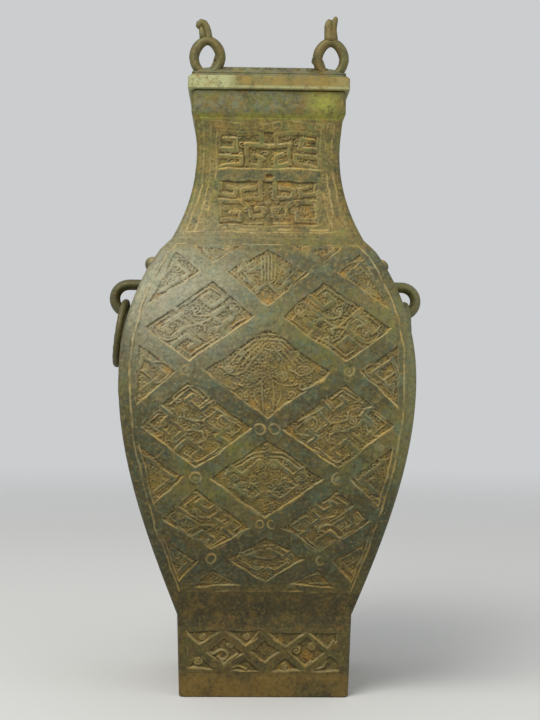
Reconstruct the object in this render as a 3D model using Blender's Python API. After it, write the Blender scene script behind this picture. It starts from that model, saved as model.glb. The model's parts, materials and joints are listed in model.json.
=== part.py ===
"""Square bronze hu (fanghu) with a lid, four ring finials and two hanging ring handles.

Metres, Z up. The foot stands on z = 0, the vessel's axis is the Z axis and the front face
looks towards -Y. The two ring handles hang on the +X and -X faces.
"""
import math

import bmesh
import bpy
from mathutils import Matrix, Vector

# Vessel: heights from the ground and half widths of the square outline
FOOT_HALF = 0.0640
FOOT_TOP_Z = 0.0620
FOOT_TOP_HALF = 0.0659
BELLY_Z = 0.2400
BELLY_HALF = 0.1081
SHOULDER_Z = 0.3370
SHOULDER_HALF = 0.0803
NECK_BASE_Z = 0.3455
NECK_BASE_HALF = 0.0725
NECK_WAIST_Z = 0.4140
NECK_WAIST_HALF = 0.0549
COLLAR_Z = 0.4400
COLLAR_HALF = 0.0571
MOUTH_Z = 0.4609
MOUTH_HALF = 0.0592
CORNER_RADIUS = 0.0034
WALL = 0.0036
LIP_EXTRA = 0.0010
FLOOR_Z = 0.0520
FLOOR_THICKNESS = 0.0045
FOOT_WALL = 0.0045

# Slopes of the outline where its curves meet (change of half width per height)
FOOT_TOP_SLOPE = 0.36
SHOULDER_SLOPE = -0.62
NECK_BASE_SLOPE = -0.52
COLLAR_SLOPE = 0.12

# Gap kept between separate pieces
CLEARANCE = 0.0003
RING_PLAY = 0.0006

# Lid: its edge band stands a little over the mouth, its flange follows the inside of the neck
LID_OVERHANG = 0.0028
LID_HALF = MOUTH_HALF + LID_OVERHANG
LID_EDGE_HEIGHT = 0.0103
LID_EDGE_ROUND = 0.0010
LID_SHOULDER = 0.0180
LID_CROWN_HALF = LID_HALF - LID_SHOULDER
LID_CROWN_RISE = 0.0085
LID_DOME_RISE = 0.0012
LID_WALL = 0.0040
FLANGE_DEPTH = 0.0130
FLANGE_WALL = 0.0035
FLANGE_PLAY = 0.0004

# Finials on the lid: middle of each ring, in from the lid's side edge and from its front edge
FINIAL_SIDE_INSET = 0.0145
FINIAL_FRONT_INSET = 0.0100
FINIAL_X = LID_HALF - FINIAL_SIDE_INSET
FINIAL_Y = LID_HALF - FINIAL_FRONT_INSET
FINIAL_WIDTH = 0.0281
FINIAL_HOLE_HEIGHT = 0.0195
FINIAL_RING_TOP = 0.0324
FINIAL_TUBE = 0.0076
FINIAL_HEAD_BEND = 0.0039
FINIAL_HEAD_NECK = 0.0084
FINIAL_HEAD_LEAN = 0.0013

# Side loops and ring handles. A ring hangs a little outside the middle of its loop's bend
LOOP_Z = 0.3041
LOOP_HEIGHT = 0.0300
LOOP_TUBE = 0.0075
LOOP_WIDTH = 0.0094
LOOP_ROOT = 0.0040
RING_OUTER = 0.0558
RING_TUBE = 0.0058
RING_HANG = 0.0025
LEFT_RING_LEAN = math.radians(8.0)

# Masks behind the loops
MASK_TOP_Z = 0.3310
MASK_BOTTOM_Z = 0.2760
MASK_HALF_WIDTH = 0.0420
MASK_RELIEF = 0.0042
MASK_ROOT = 0.0025
MASK_EYE_RADIUS = 0.0042
MASK_EYE_LIFT = 0.0020

# Raised lines of the pattern
LINE_WIDTH = 0.0022
LINE_HEIGHT = 0.0012
LINE_SINK = 0.0005
BAND_WIDTH = 0.0080
FRAME_MARGIN = 0.0085
LINE_GAP = 0.0033
BELLY_FRAME_LOW = 0.0805
BELLY_FRAME_HIGH = 0.3415
NECK_FRAME_LOW = 0.3492
NECK_FRAME_HIGH = 0.4380
NECK_BAR_LOW = 0.3920
NECK_BAR_HIGH = 0.4005
FOOT_FRAME_LOW = 0.0200
FOOT_FRAME_HIGH = 0.0510

# A hanging ring just clears the pattern on the widest part of the belly
RING_PIVOT_X = BELLY_HALF + LINE_HEIGHT + CLEARANCE + RING_TUBE / 2
LOOP_BEND_X = RING_PIVOT_X - RING_HANG


def clear_scene():
    for old in list(bpy.data.objects):
        bpy.data.objects.remove(old, do_unlink=True)


def make_material(name, colour, roughness, metallic):
    material = bpy.data.materials.new(name)
    material.use_nodes = True
    shader = material.node_tree.nodes["Principled BSDF"]
    shader.inputs["Base Color"].default_value = (*colour, 1.0)
    shader.inputs["Roughness"].default_value = roughness
    shader.inputs["Metallic"].default_value = metallic
    return material


def curve_between(z, low, high):
    """Half width on a smooth curve between two stations (height, half width, slope)."""
    z_low, half_low, slope_low = low
    z_high, half_high, slope_high = high
    span = z_high - z_low
    t = (z - z_low) / span
    return ((2 * t ** 3 - 3 * t ** 2 + 1) * half_low
            + (t ** 3 - 2 * t ** 2 + t) * span * slope_low
            + (3 * t ** 2 - 2 * t ** 3) * half_high
            + (t ** 3 - t ** 2) * span * slope_high)


FOOT_STATION = (FOOT_TOP_Z, FOOT_TOP_HALF, FOOT_TOP_SLOPE)
BELLY_STATION = (BELLY_Z, BELLY_HALF, 0.0)
SHOULDER_STATION = (SHOULDER_Z, SHOULDER_HALF, SHOULDER_SLOPE)
NECK_BASE_STATION = (NECK_BASE_Z, NECK_BASE_HALF, NECK_BASE_SLOPE)
WAIST_STATION = (NECK_WAIST_Z, NECK_WAIST_HALF, 0.0)
COLLAR_STATION = (COLLAR_Z, COLLAR_HALF, COLLAR_SLOPE)


def stations_along(low, high, steps):
    """Outline stations from just above low up to high, evenly spaced."""
    heights = [low[0] + (high[0] - low[0]) * k / steps for k in range(1, steps + 1)]
    return [(z, curve_between(z, low, high)) for z in heights]


def outer_outline():
    """(height, half width) stations of the vessel's outside, from the ground to the mouth."""
    outline = [(0.0, FOOT_HALF), (FOOT_TOP_Z, FOOT_TOP_HALF)]
    outline += stations_along(FOOT_STATION, BELLY_STATION, 4)
    outline += stations_along(BELLY_STATION, SHOULDER_STATION, 3)
    outline.append((NECK_BASE_Z, NECK_BASE_HALF))
    outline += stations_along(NECK_BASE_STATION, WAIST_STATION, 3)
    outline += stations_along(WAIST_STATION, COLLAR_STATION, 1)
    outline.append((COLLAR_Z + 0.2 * (MOUTH_Z - COLLAR_Z), MOUTH_HALF))
    outline.append((MOUTH_Z, MOUTH_HALF))
    return outline


OUTLINE = outer_outline()


def half_width_at(z):
    """Half width of the faceted outside at a height, and its slope there."""
    for (z_low, half_low), (z_high, half_high) in zip(OUTLINE, OUTLINE[1:]):
        if z <= z_high or z_high == MOUTH_Z:
            slope = (half_high - half_low) / (z_high - z_low)
            return half_low + (z - z_low) * slope, slope
    return OUTLINE[-1][1], 0.0


def new_object(name, bm, material=None):
    bmesh.ops.recalc_face_normals(bm, faces=bm.faces)
    mesh = bpy.data.meshes.new(name)
    bm.to_mesh(mesh)
    bm.free()
    made = bpy.data.objects.new(name, mesh)
    bpy.context.scene.collection.objects.link(made)
    if material:
        mesh.materials.append(material)
    return made


def square_loop(half, radius, corner_steps):
    """Points of a square with rounded corners, counted anticlockwise."""
    points = []
    for quarter in range(4):
        turn = Matrix.Rotation(quarter * math.pi / 2, 2)
        for k in range(corner_steps + 1):
            angle = math.pi / 2 * k / corner_steps if corner_steps else math.pi / 4
            reach = radius if corner_steps else 0.0
            corner = Vector((half - reach + reach * math.cos(angle),
                             half - reach + reach * math.sin(angle)))
            points.append(turn @ corner)
    return points


def add_loft(bm, stations, radius=0.0, corner_steps=0):
    """Closed solid through square outlines stacked at the stations (height, half width)."""
    loops = []
    for z, half in stations:
        loop = square_loop(half, radius, corner_steps)
        loops.append([bm.verts.new((p.x, p.y, z)) for p in loop])
    for below, above in zip(loops, loops[1:]):
        count = len(below)
        for k in range(count):
            after = (k + 1) % count
            bm.faces.new((below[k], below[after], above[after], above[k]))
    bm.faces.new(list(reversed(loops[0])))
    bm.faces.new(loops[-1])


def loft_object(name, stations, radius=0.0, corner_steps=0, material=None):
    bm = bmesh.new()
    add_loft(bm, stations, radius, corner_steps)
    return new_object(name, bm, material)


def combine(target, other, operation):
    """Apply an exact Boolean of other to target and remove other."""
    modifier = target.modifiers.new("join", "BOOLEAN")
    modifier.operation = operation
    modifier.solver = "EXACT"
    modifier.object = other
    depsgraph = bpy.context.evaluated_depsgraph_get()
    result = bpy.data.meshes.new_from_object(target.evaluated_get(depsgraph))
    target.modifiers.clear()
    faceted = bmesh.new()
    faceted.from_mesh(result)
    bmesh.ops.triangulate(faceted, faces=faceted.faces)
    faceted.to_mesh(result)
    faceted.free()
    old = target.data
    target.data = result
    bpy.data.meshes.remove(old)
    bpy.data.objects.remove(other, do_unlink=True)
    return target


# Pattern: points are (across, height) on one face, across counted from the face's middle line


def on_face(across, z, lift):
    """Point on the front face, lifted off it along its normal."""
    half, slope = half_width_at(z)
    length = math.sqrt(1 + slope * slope)
    return Vector((across, -half - lift / length, z - lift * slope / length))


def with_outline_heights(points, closed):
    """The same line with points added where it crosses a station of the outline."""
    heights = [z for z, _ in OUTLINE]
    refined = []
    pairs = list(zip(points, points[1:] + points[:1])) if closed else list(zip(points, points[1:]))
    for start, end in pairs:
        refined.append(start)
        low, high = sorted((start[1], end[1]))
        crossings = [z for z in heights if low + 0.0015 < z < high - 0.0015]
        if start[1] > end[1]:
            crossings.reverse()
        for z in crossings:
            t = (z - start[1]) / (end[1] - start[1])
            refined.append((start[0] + t * (end[0] - start[0]), z))
    if not closed:
        refined.append(points[-1])
    return refined


def mitre(before, here, after):
    """Sideways direction at a bend, scaled so that the line keeps its width."""
    into = (here - before).normalized() if before is not None else None
    out = (after - here).normalized() if after is not None else None
    if into is None:
        into = out
    if out is None:
        out = into
    middle = (into + out).normalized()
    side = Vector((-middle.y, middle.x))
    straight = Vector((-into.y, into.x))
    return side / max(0.5, side.dot(straight))


def add_line(bm, points, closed, width=LINE_WIDTH, height=LINE_HEIGHT):
    """Raised line with a three-sided section along points of the front face."""
    refined = [Vector(p) for p in with_outline_heights(points, closed)]
    count = len(refined)
    sections = []
    for k, here in enumerate(refined):
        before = refined[k - 1] if closed or k else None
        after = refined[(k + 1) % count] if closed or k < count - 1 else None
        side = mitre(before, here, after) * width / 2
        left, right = here + side, here - side
        sections.append([bm.verts.new(on_face(left.x, left.y, -LINE_SINK)),
                         bm.verts.new(on_face(here.x, here.y, height)),
                         bm.verts.new(on_face(right.x, right.y, -LINE_SINK))])
    links = range(count) if closed else range(count - 1)
    for k in links:
        here, after = sections[k], sections[(k + 1) % count]
        for corner in range(3):
            turned = (corner + 1) % 3
            bm.faces.new((here[corner], here[turned], after[turned], after[corner]))
    if not closed:
        bm.faces.new(sections[0])
        bm.faces.new(list(reversed(sections[-1])))


def inset_polygon(corners, distance):
    """Corners of a convex polygon moved inwards by a distance."""
    points = [Vector(c) for c in corners]
    centre = sum(points, Vector((0.0, 0.0))) / len(points)
    moved = []
    for k, here in enumerate(points):
        into = (here - points[k - 1]).normalized()
        out = (points[(k + 1) % len(points)] - here).normalized()
        n_in = Vector((-into.y, into.x))
        n_out = Vector((-out.y, out.x))
        if n_in.dot(centre - here) < 0:
            n_in = -n_in
        if n_out.dot(centre - here) < 0:
            n_out = -n_out
        bisector = (n_in + n_out).normalized()
        moved.append(here + bisector * distance / max(0.25, bisector.dot(n_in)))
    return [tuple(p) for p in moved]


def scaled_about(corners, share, shift=(0.0, 0.0)):
    """A polygon shrunk about its own middle."""
    points = [Vector(c) for c in corners]
    centre = sum(points, Vector((0.0, 0.0))) / len(points)
    return [tuple(centre + (p - centre) * share + Vector(shift)) for p in points]


def mirrored(points):
    return [(-u, z) for u, z in points]


def frame_edge(z):
    """Half width of the pattern frame at a height."""
    return half_width_at(z)[0] - FRAME_MARGIN


def frame_loop(low, high, inset=0.0):
    """Closed frame that follows the outline between two heights."""
    low, high = low + inset, high - inset
    inner = [z for z, _ in OUTLINE if low + 0.004 < z < high - 0.004]
    side = [(frame_edge(z) - inset, z) for z in [low] + inner + [high]]
    return side + [(-u, z) for u, z in reversed(side)]


# Cells are inset from the middle of the bands. Along the frame they stop one line gap short of it
CELL_INSET = BAND_WIDTH / 2 + LINE_WIDTH / 2
OUTSIDE = CELL_INSET - LINE_GAP
TIP_WIDTH = 1.4 * LINE_WIDTH
TIP_ANGLE = math.radians(25)


def lattice_nodes():
    """Crossings of the diagonal bands on the belly, named by row."""
    span = BELLY_FRAME_HIGH - BELLY_FRAME_LOW
    rows = {}
    shares = {"H": 0.013, "G": 0.097, "F": 0.205, "E": 0.335, "D": 0.473,
              "C": 0.634, "B": 0.797, "A": 0.912, "T": 1.0}
    for name, share in shares.items():
        rows[name] = BELLY_FRAME_LOW + span * share
    nodes = {name: (0.0, rows[name]) for name in "HFDBT"}
    for name in "GECA":
        nodes[name] = (0.50 * half_width_at(rows[name])[0], rows[name])
    for side, row in (("S1", "B"), ("S2", "D"), ("S3", "F")):
        nodes[side] = (frame_edge(rows[row]) + OUTSIDE, rows[row])
    nodes["TR"] = frame_corner(nodes["S1"], BELLY_FRAME_HIGH + OUTSIDE)
    nodes["BR"] = frame_corner(nodes["S3"], BELLY_FRAME_LOW - OUTSIDE)
    return nodes


def frame_corner(start, end_z):
    """Corner cell's end: as far out as the straight line from start stays inside the frame."""
    heights = [z for z, _ in OUTLINE if min(start[1], end_z) < z < max(start[1], end_z)]
    reach = [start[0] + (frame_edge(z) + OUTSIDE - start[0]) * (end_z - start[1]) / (z - start[1])
             for z in heights + [end_z]]
    return min(reach), end_z


def blunted(corners):
    """Sharp corners of a cell cut off where its two sides come close to one another."""
    points = [Vector(c) for c in corners]
    cut = []
    for k, here in enumerate(points):
        back = points[k - 1] - here
        ahead = points[(k + 1) % len(points)] - here
        half_angle = back.angle(ahead) / 2
        distance = TIP_WIDTH / (2 * math.sin(half_angle))
        if half_angle < TIP_ANGLE and distance < 0.4 * min(back.length, ahead.length):
            cut += [here + back.normalized() * distance, here + ahead.normalized() * distance]
        else:
            cut.append(here)
    return [tuple(p) for p in cut]


def lattice_cells(nodes):
    """Cells between the bands: the middle column, then right ones with their mirror images."""
    def left(name):
        return (-nodes[name][0], nodes[name][1])
    middle = [[nodes["T"], left("A"), nodes["B"], nodes["A"]],
              [nodes["B"], left("C"), nodes["D"], nodes["C"]],
              [nodes["D"], left("E"), nodes["F"], nodes["E"]],
              [nodes["F"], left("G"), nodes["H"], nodes["G"]]]
    big = [[nodes[n] for n in names] for names in
           (("A", "B", "C", "S1"), ("C", "D", "E", "S2"), ("E", "F", "G", "S3"))]
    small = [[nodes[n] for n in names] for names in
             (("T", "A", "TR"), ("TR", "A", "S1"), ("S1", "C", "S2"),
              ("S2", "E", "S3"), ("S3", "G", "BR"), ("G", "H", "BR"))]
    return middle, big, small


def belly_lines(bm, behind_mask):
    """Frame, cells and inner lozenges. The topmost cell is left out where the mask covers it."""
    nodes = lattice_nodes()
    middle, big, small = lattice_cells(nodes)
    add_line(bm, frame_loop(BELLY_FRAME_LOW, BELLY_FRAME_HIGH), True)
    for corners in middle[1:] if behind_mask else middle:
        cell = inset_polygon(corners, CELL_INSET)
        add_line(bm, cell, True)
    add_line(bm, scaled_about(inset_polygon(middle[1], CELL_INSET), 0.5), True)
    for corners in big:
        cell = inset_polygon(corners, CELL_INSET)
        for turned in (cell, mirrored(cell)):
            add_line(bm, turned, True)
    for corners in big[1:2]:
        inner = scaled_about(inset_polygon(corners, CELL_INSET), 0.5)
        for turned in (inner, mirrored(inner)):
            add_line(bm, turned, True)
    for corners in small:
        cell = blunted(inset_polygon(corners, CELL_INSET))
        for turned in (cell, mirrored(cell)):
            add_line(bm, turned, True)


def fret(near, far, low, high, step):
    """Square hook that winds inwards, as an open line."""
    return [(near, low), (near, high), (far, high), (far, low + step), (near + step, low + step),
            (near + step, high - step)]


def neck_lines(bm):
    add_line(bm, frame_loop(NECK_FRAME_LOW, NECK_FRAME_HIGH), True)
    low, high = NECK_FRAME_LOW, NECK_FRAME_HIGH
    border = 0.10 * (high - low)
    near = 0.07 * frame_edge(NECK_WAIST_Z)
    far = 0.76 * frame_edge(NECK_WAIST_Z)
    for register_low, register_high in ((NECK_BAR_HIGH, high - border), (low + border, NECK_BAR_LOW)):
        step = 0.2 * (register_high - register_low)
        line = fret(near, far, register_low, register_high, step)
        add_line(bm, line, False)
        add_line(bm, mirrored(line), False)


def foot_lines(bm):
    low, high = FOOT_FRAME_LOW, FOOT_FRAME_HIGH
    edge = frame_edge(low) + 0.3 * FRAME_MARGIN
    add_line(bm, [(-edge, low), (edge, low), (edge, high), (-edge, high)], True)
    middle = (low + high) / 2
    near, far = edge * 0.25, edge * 0.86
    reach = (high - low) / 2 - LINE_GAP
    diamond = [(near * 0.8, middle), (0, middle - reach * 0.8), (-near * 0.8, middle),
               (0, middle + reach * 0.8)]
    add_line(bm, diamond, True)
    between = (near + far) / 2
    cell = [(near + LINE_GAP, middle), (between, middle - reach), (far - LINE_GAP, middle),
            (between, middle + reach)]
    for turned in (cell, mirrored(cell)):
        add_line(bm, turned, True)


def pattern_object():
    """The raised lines of all four faces."""
    bm = bmesh.new()
    for quarter in range(4):
        earlier = set(bm.verts)
        belly_lines(bm, behind_mask=quarter % 2 == 1)
        neck_lines(bm)
        foot_lines(bm)
        fresh = [vert for vert in bm.verts if vert not in earlier]
        turn = Matrix.Rotation(quarter * math.pi / 2, 3, "Z")
        bmesh.ops.rotate(bm, verts=fresh, cent=(0, 0, 0), matrix=turn)
    return new_object("pattern_lines", bm)


def add_tube(bm, path, across, thick, wide, closed, sides=6, end_share=1.0):
    """Tube along a flat path. across is the fixed direction square to the path's plane."""
    count = len(path)
    rings = []
    for k, here in enumerate(path):
        before = path[k - 1] if closed or k else here
        after = path[(k + 1) % count] if closed or k < count - 1 else here
        along = (after - before).normalized()
        outward = along.cross(across).normalized()
        share = 1.0 if closed else 1.0 + (end_share - 1.0) * (k / (count - 1)) ** 2
        ring = []
        for n in range(sides):
            angle = 2 * math.pi * n / sides
            offset = outward * math.cos(angle) * thick / 2 + across * math.sin(angle) * wide / 2
            ring.append(bm.verts.new(here + offset * share))
        rings.append(ring)
    for k in (range(count) if closed else range(count - 1)):
        here, after = rings[k], rings[(k + 1) % count]
        for n in range(sides):
            turned = (n + 1) % sides
            bm.faces.new((here[n], here[turned], after[turned], after[n]))
    if not closed:
        bm.faces.new(rings[0])
        bm.faces.new(list(reversed(rings[-1])))


def ellipse_path(centre, radius_side, radius_up, side, up, steps):
    return [centre + side * radius_side * math.cos(2 * math.pi * k / steps)
            + up * radius_up * math.sin(2 * math.pi * k / steps) for k in range(steps)]


def mask_object(sign):
    """Raised animal mask on one side face: brow plate, cheeks, horns and eyes."""
    height = MASK_TOP_Z - MASK_BOTTOM_Z
    outline = [(0.0, 0.0), (0.20, 0.06), (0.42, 0.20), (0.52, 0.42), (0.80, 0.46), (1.0, 0.66),
               (0.94, 0.92), (0.70, 1.0), (0.62, 0.86), (0.74, 0.74), (0.58, 0.66), (0.34, 0.80),
               (0.16, 0.98), (0.0, 0.88)]
    right = [(u * MASK_HALF_WIDTH, MASK_BOTTOM_Z + v * height) for u, v in outline]
    loop = right + [(-u, z) for u, z in reversed(right[1:-1])]
    low = half_width_at(MASK_BOTTOM_Z)[0]
    high = half_width_at(MASK_TOP_Z)[0]
    lean = (high - low) / height
    bm = bmesh.new()

    def depth(z, lift):
        return sign * (low + (z - MASK_BOTTOM_Z) * lean + lift)

    back = [bm.verts.new((depth(z, -MASK_ROOT), u, z)) for u, z in loop]
    front = [bm.verts.new((depth(z, MASK_RELIEF + MASK_ROOT), u * 0.96, z)) for u, z in loop]
    count = len(loop)
    for k in range(count):
        after = (k + 1) % count
        bm.faces.new((back[k], back[after], front[after], front[k]))
    bm.faces.new(back)
    bm.faces.new(list(reversed(front)))
    plate = new_object("mask_plate", bm)
    eyes = bmesh.new()
    eye_z = MASK_BOTTOM_Z + 0.52 * height
    for side in (-1, 1):
        centre = Vector((depth(eye_z, MASK_RELIEF + MASK_EYE_LIFT), side * 0.30 * MASK_HALF_WIDTH, eye_z))
        bmesh.ops.create_uvsphere(eyes, u_segments=8, v_segments=4, radius=MASK_EYE_RADIUS,
                                  matrix=Matrix.Translation(centre))
    return combine(plate, new_object("mask_eyes", eyes), "UNION")


def loop_object(sign):
    """Closed loop that stands out of the mask and carries the ring."""
    inner_end = half_width_at(LOOP_Z)[0] - LOOP_ROOT
    radius_up = (LOOP_HEIGHT - LOOP_TUBE) / 2
    path = [Vector((sign * inner_end, 0, LOOP_Z + radius_up))]
    steps = 6
    for k in range(steps + 1):
        angle = math.pi / 2 - math.pi * k / steps
        path.append(Vector((sign * (LOOP_BEND_X + radius_up * math.cos(angle)), 0,
                            LOOP_Z + radius_up * math.sin(angle))))
    path.append(Vector((sign * inner_end, 0, LOOP_Z - radius_up)))
    bm = bmesh.new()
    add_tube(bm, path, Vector((0, 1, 0)), LOOP_TUBE, LOOP_WIDTH, False)
    return new_object("loop", bm)


def inner_outline():
    """Stations of the hollow inside, one wall thickness in from the outside."""
    stations = [(FLOOR_Z + FLOOR_THICKNESS, half_width_at(FLOOR_Z + FLOOR_THICKNESS)[0] - WALL)]
    for z, half in OUTLINE[1:-2]:
        slope = half_width_at(z + 0.0001)[1]
        steep = math.sqrt(1 + slope * slope)
        stations.append((z, half - WALL * steep))
    stations.append((MOUTH_Z + 0.01, MOUTH_HALF - WALL - LIP_EXTRA))
    return stations


def inner_half_at(z):
    """Half width of the hollow inside at a height."""
    stations = inner_outline()
    for (z_low, half_low), (z_high, half_high) in zip(stations, stations[1:]):
        if z <= z_high:
            return half_low + (half_high - half_low) * (z - z_low) / (z_high - z_low)
    return stations[-1][1]


def vessel_object(material):
    vessel = loft_object("vessel", OUTLINE, CORNER_RADIUS, 1, material)
    combine(vessel, pattern_object(), "UNION")
    for sign in (-1, 1):
        combine(vessel, mask_object(sign), "UNION")
        combine(vessel, loop_object(sign), "UNION")
    combine(vessel, loft_object("inside", inner_outline()), "DIFFERENCE")
    foot_half = FOOT_HALF - FOOT_WALL
    hollow = loft_object("foot_hollow", [(-0.01, foot_half), (FLOOR_Z, foot_half)])
    combine(vessel, hollow, "DIFFERENCE")
    return vessel


def finial_object(sign_x, sign_y, base_z):
    """Upright ring with a hooked head that curls outwards, standing near one lid corner."""
    across = Vector((0, 1, 0))
    outward, up = Vector((sign_x, 0, 0)), Vector((0, 0, 1))
    radius_side = (FINIAL_WIDTH - FINIAL_TUBE) / 2
    radius_up = (FINIAL_HOLE_HEIGHT + FINIAL_TUBE) / 2
    ring_top = Vector((sign_x * FINIAL_X, sign_y * FINIAL_Y, base_z + FINIAL_RING_TOP))
    centre = ring_top - up * (FINIAL_TUBE / 2 + radius_up)
    bm = bmesh.new()
    path = ellipse_path(centre, radius_side, radius_up, outward, up, 12)
    add_tube(bm, path, across, FINIAL_TUBE, FINIAL_TUBE * 0.9, True)
    ring = new_object("finial", bm)
    head = bmesh.new()
    curl = [ring_top - outward * FINIAL_HEAD_LEAN - up * FINIAL_TUBE / 2]
    bend_centre = ring_top + outward * FINIAL_HEAD_BEND + up * FINIAL_HEAD_NECK
    steps = 5
    for k in range(steps + 1):
        angle = math.pi * (1 - k / steps)
        curl.append(bend_centre + (outward * math.cos(angle) + up * math.sin(angle)) * FINIAL_HEAD_BEND)
    add_tube(head, curl, across, FINIAL_TUBE * 0.92, FINIAL_TUBE * 0.84, False, end_share=0.76)
    return combine(ring, new_object("finial_head", head), "UNION")


def lid_object(material):
    """Lid with a flat edge band, a low crown, a flange that drops into the mouth, and finials."""
    base = MOUTH_Z + CLEARANCE
    edge_top = base + LID_EDGE_HEIGHT
    crown = edge_top + LID_CROWN_RISE
    stations = [(base, LID_HALF), (edge_top - LID_EDGE_ROUND, LID_HALF),
                (edge_top, LID_HALF - LID_EDGE_ROUND), (crown, LID_CROWN_HALF),
                (crown + LID_DOME_RISE, LID_CROWN_HALF * 0.45)]
    lid = loft_object("lid", stations, CORNER_RADIUS, 1, material)
    flange_end = base - FLANGE_DEPTH
    flange_half = inner_half_at(flange_end) - FLANGE_PLAY
    flange = loft_object("flange", [(flange_end, flange_half),
                                    (base, inner_half_at(base) - FLANGE_PLAY),
                                    (base + LID_WALL / 2, inner_half_at(base) - FLANGE_PLAY)])
    combine(lid, flange, "UNION")
    hollow_half = flange_half - FLANGE_WALL
    hollow = loft_object("lid_hollow", [(base - FLANGE_DEPTH - 0.01, hollow_half),
                                        (edge_top - LID_WALL, hollow_half),
                                        (crown - LID_WALL, LID_CROWN_HALF - LID_WALL * 1.5)])
    combine(lid, hollow, "DIFFERENCE")
    bm = bmesh.new()
    for reach, rise in ((LID_CROWN_HALF - 0.0035, 0.0), (LID_CROWN_HALF * 0.50, 0.0008)):
        z = crown + rise
        corners = [Vector((reach, reach)), Vector((-reach, reach)),
                   Vector((-reach, -reach)), Vector((reach, -reach))]
        sections = []
        for corner in corners:
            out = Vector((math.copysign(1, corner.x), math.copysign(1, corner.y))) * LINE_WIDTH / 2
            sections.append([bm.verts.new((corner.x + out.x, corner.y + out.y, z - LINE_SINK)),
                             bm.verts.new((corner.x, corner.y, z + LINE_HEIGHT)),
                             bm.verts.new((corner.x - out.x, corner.y - out.y, z - LINE_SINK))])
        for k in range(4):
            here, after = sections[k], sections[(k + 1) % 4]
            for corner in range(3):
                turned = (corner + 1) % 3
                bm.faces.new((here[corner], here[turned], after[turned], after[corner]))
    combine(lid, new_object("lid_lines", bm), "UNION")
    for sign_x in (-1, 1):
        for sign_y in (-1, 1):
            combine(lid, finial_object(sign_x, sign_y, edge_top), "UNION")
    return lid


def ring_object(name, sign, lean, material):
    """Ring handle with its origin on the swing axis inside the loop."""
    radius = (RING_OUTER - RING_TUBE) / 2
    rest_radius = LOOP_HEIGHT / 2 - LOOP_TUBE - RING_TUBE / 2 - RING_PLAY
    pivot_z = LOOP_Z - math.sqrt(rest_radius ** 2 - RING_HANG ** 2)
    bm = bmesh.new()
    path = ellipse_path(Vector((0, 0, -radius)), radius, radius, Vector((0, 1, 0)),
                        Vector((0, 0, 1)), 18)
    add_tube(bm, path, Vector((1, 0, 0)), RING_TUBE, RING_TUBE, True)
    ring = new_object(name, bm, material)
    ring.location = (sign * RING_PIVOT_X, 0, pivot_z)
    ring.rotation_euler = (0, -sign * lean, 0)
    for face in ring.data.polygons:
        face.use_smooth = True
    return ring


def build():
    clear_scene()
    body_bronze = make_material("bronze_olive", (0.115, 0.098, 0.045), 0.55, 0.55)
    lid_bronze = make_material("bronze_ochre", (0.165, 0.130, 0.055), 0.58, 0.50)
    ring_bronze = make_material("bronze_dark", (0.075, 0.070, 0.040), 0.50, 0.60)
    vessel_object(body_bronze)
    lid_object(lid_bronze)
    ring_object("ring_left", -1, LEFT_RING_LEAN, ring_bronze)
    ring_object("ring_right", 1, 0.0, ring_bronze)


build()
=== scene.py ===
"""Bronze square hu with lid, ring finials and hanging ring handles: the dressed model.

Sizes are in millimetres of the vessel's own size sheet, and MM turns them into metres of the frame.
Pattern lines are placed by where they are seen in the photo, through the same camera as the scene's.
"""
import json
import math

import bmesh
import bpy
import numpy as np
from mathutils import Matrix, Vector


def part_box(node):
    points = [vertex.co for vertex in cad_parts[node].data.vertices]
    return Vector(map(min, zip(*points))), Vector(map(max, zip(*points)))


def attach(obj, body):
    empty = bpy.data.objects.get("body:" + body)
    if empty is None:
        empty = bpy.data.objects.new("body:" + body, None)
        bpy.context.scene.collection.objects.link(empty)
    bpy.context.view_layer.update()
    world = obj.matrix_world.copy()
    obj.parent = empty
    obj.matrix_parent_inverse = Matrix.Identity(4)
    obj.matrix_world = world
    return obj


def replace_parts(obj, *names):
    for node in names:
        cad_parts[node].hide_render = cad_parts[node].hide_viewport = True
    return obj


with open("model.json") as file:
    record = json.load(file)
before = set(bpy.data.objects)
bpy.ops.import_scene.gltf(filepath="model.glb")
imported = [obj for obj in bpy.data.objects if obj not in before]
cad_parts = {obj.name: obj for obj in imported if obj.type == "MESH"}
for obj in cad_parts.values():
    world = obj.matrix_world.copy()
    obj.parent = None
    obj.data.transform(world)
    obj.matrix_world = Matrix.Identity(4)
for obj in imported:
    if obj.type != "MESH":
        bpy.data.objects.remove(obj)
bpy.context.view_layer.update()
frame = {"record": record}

SHEET_HEIGHT = 460.9
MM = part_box("vessel")[1][2] / SHEET_HEIGHT

# Outline of the vessel: height, half width, slope
FOOT = (62.0, 65.9, 0.36)
BELLY = (240.0, 108.1, 0.0)
SHOULDER = (337.0, 80.3, -0.62)
NECK_BASE = (345.5, 72.5, -0.52)
WAIST = (414.0, 54.9, 0.0)
COLLAR = (440.0, 57.1, 0.12)
FOOT_HALF = 64.0
MOUTH_HALF = 59.2
MOUTH = SHEET_HEIGHT
WALL = 3.6
CORNER = 3.4
FLOOR_TOP = 56.5
FLOOR_UNDERSIDE = 52.0
FOOT_INSIDE = 59.5
LIP_INSIDE = 54.6

# The photo's camera, in pixels of the photo and millimetres of the size sheet
FOCAL = 1250.0
CAMERA_AWAY = 1011.0
CAMERA_HEIGHT = 239.5
HORIZON = 380.0
ROLL = 0.0092
CENTRE_AT_TOP = 272.4
AXIS_X = 265.0
TURN = math.radians(-1.15)
PHOTO_WIDTH, PHOTO_HEIGHT = 540, 720
PIXEL = 0.735  # width of one pixel on the front face
SENSOR = 24.0

# Pattern: depth of the sunk cells and run of their walls, then half widths of bands and lines
SINK = 0.95
WALL_RUN = 0.9
BAND_HALF = 6.0
THREAD = 0.48
BOLD = 0.68
FINE = 0.55
HOOK_HALF = 1.55
WIDE_LINE = 1.0  # over this only the edges of a line are rubbed bright

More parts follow.
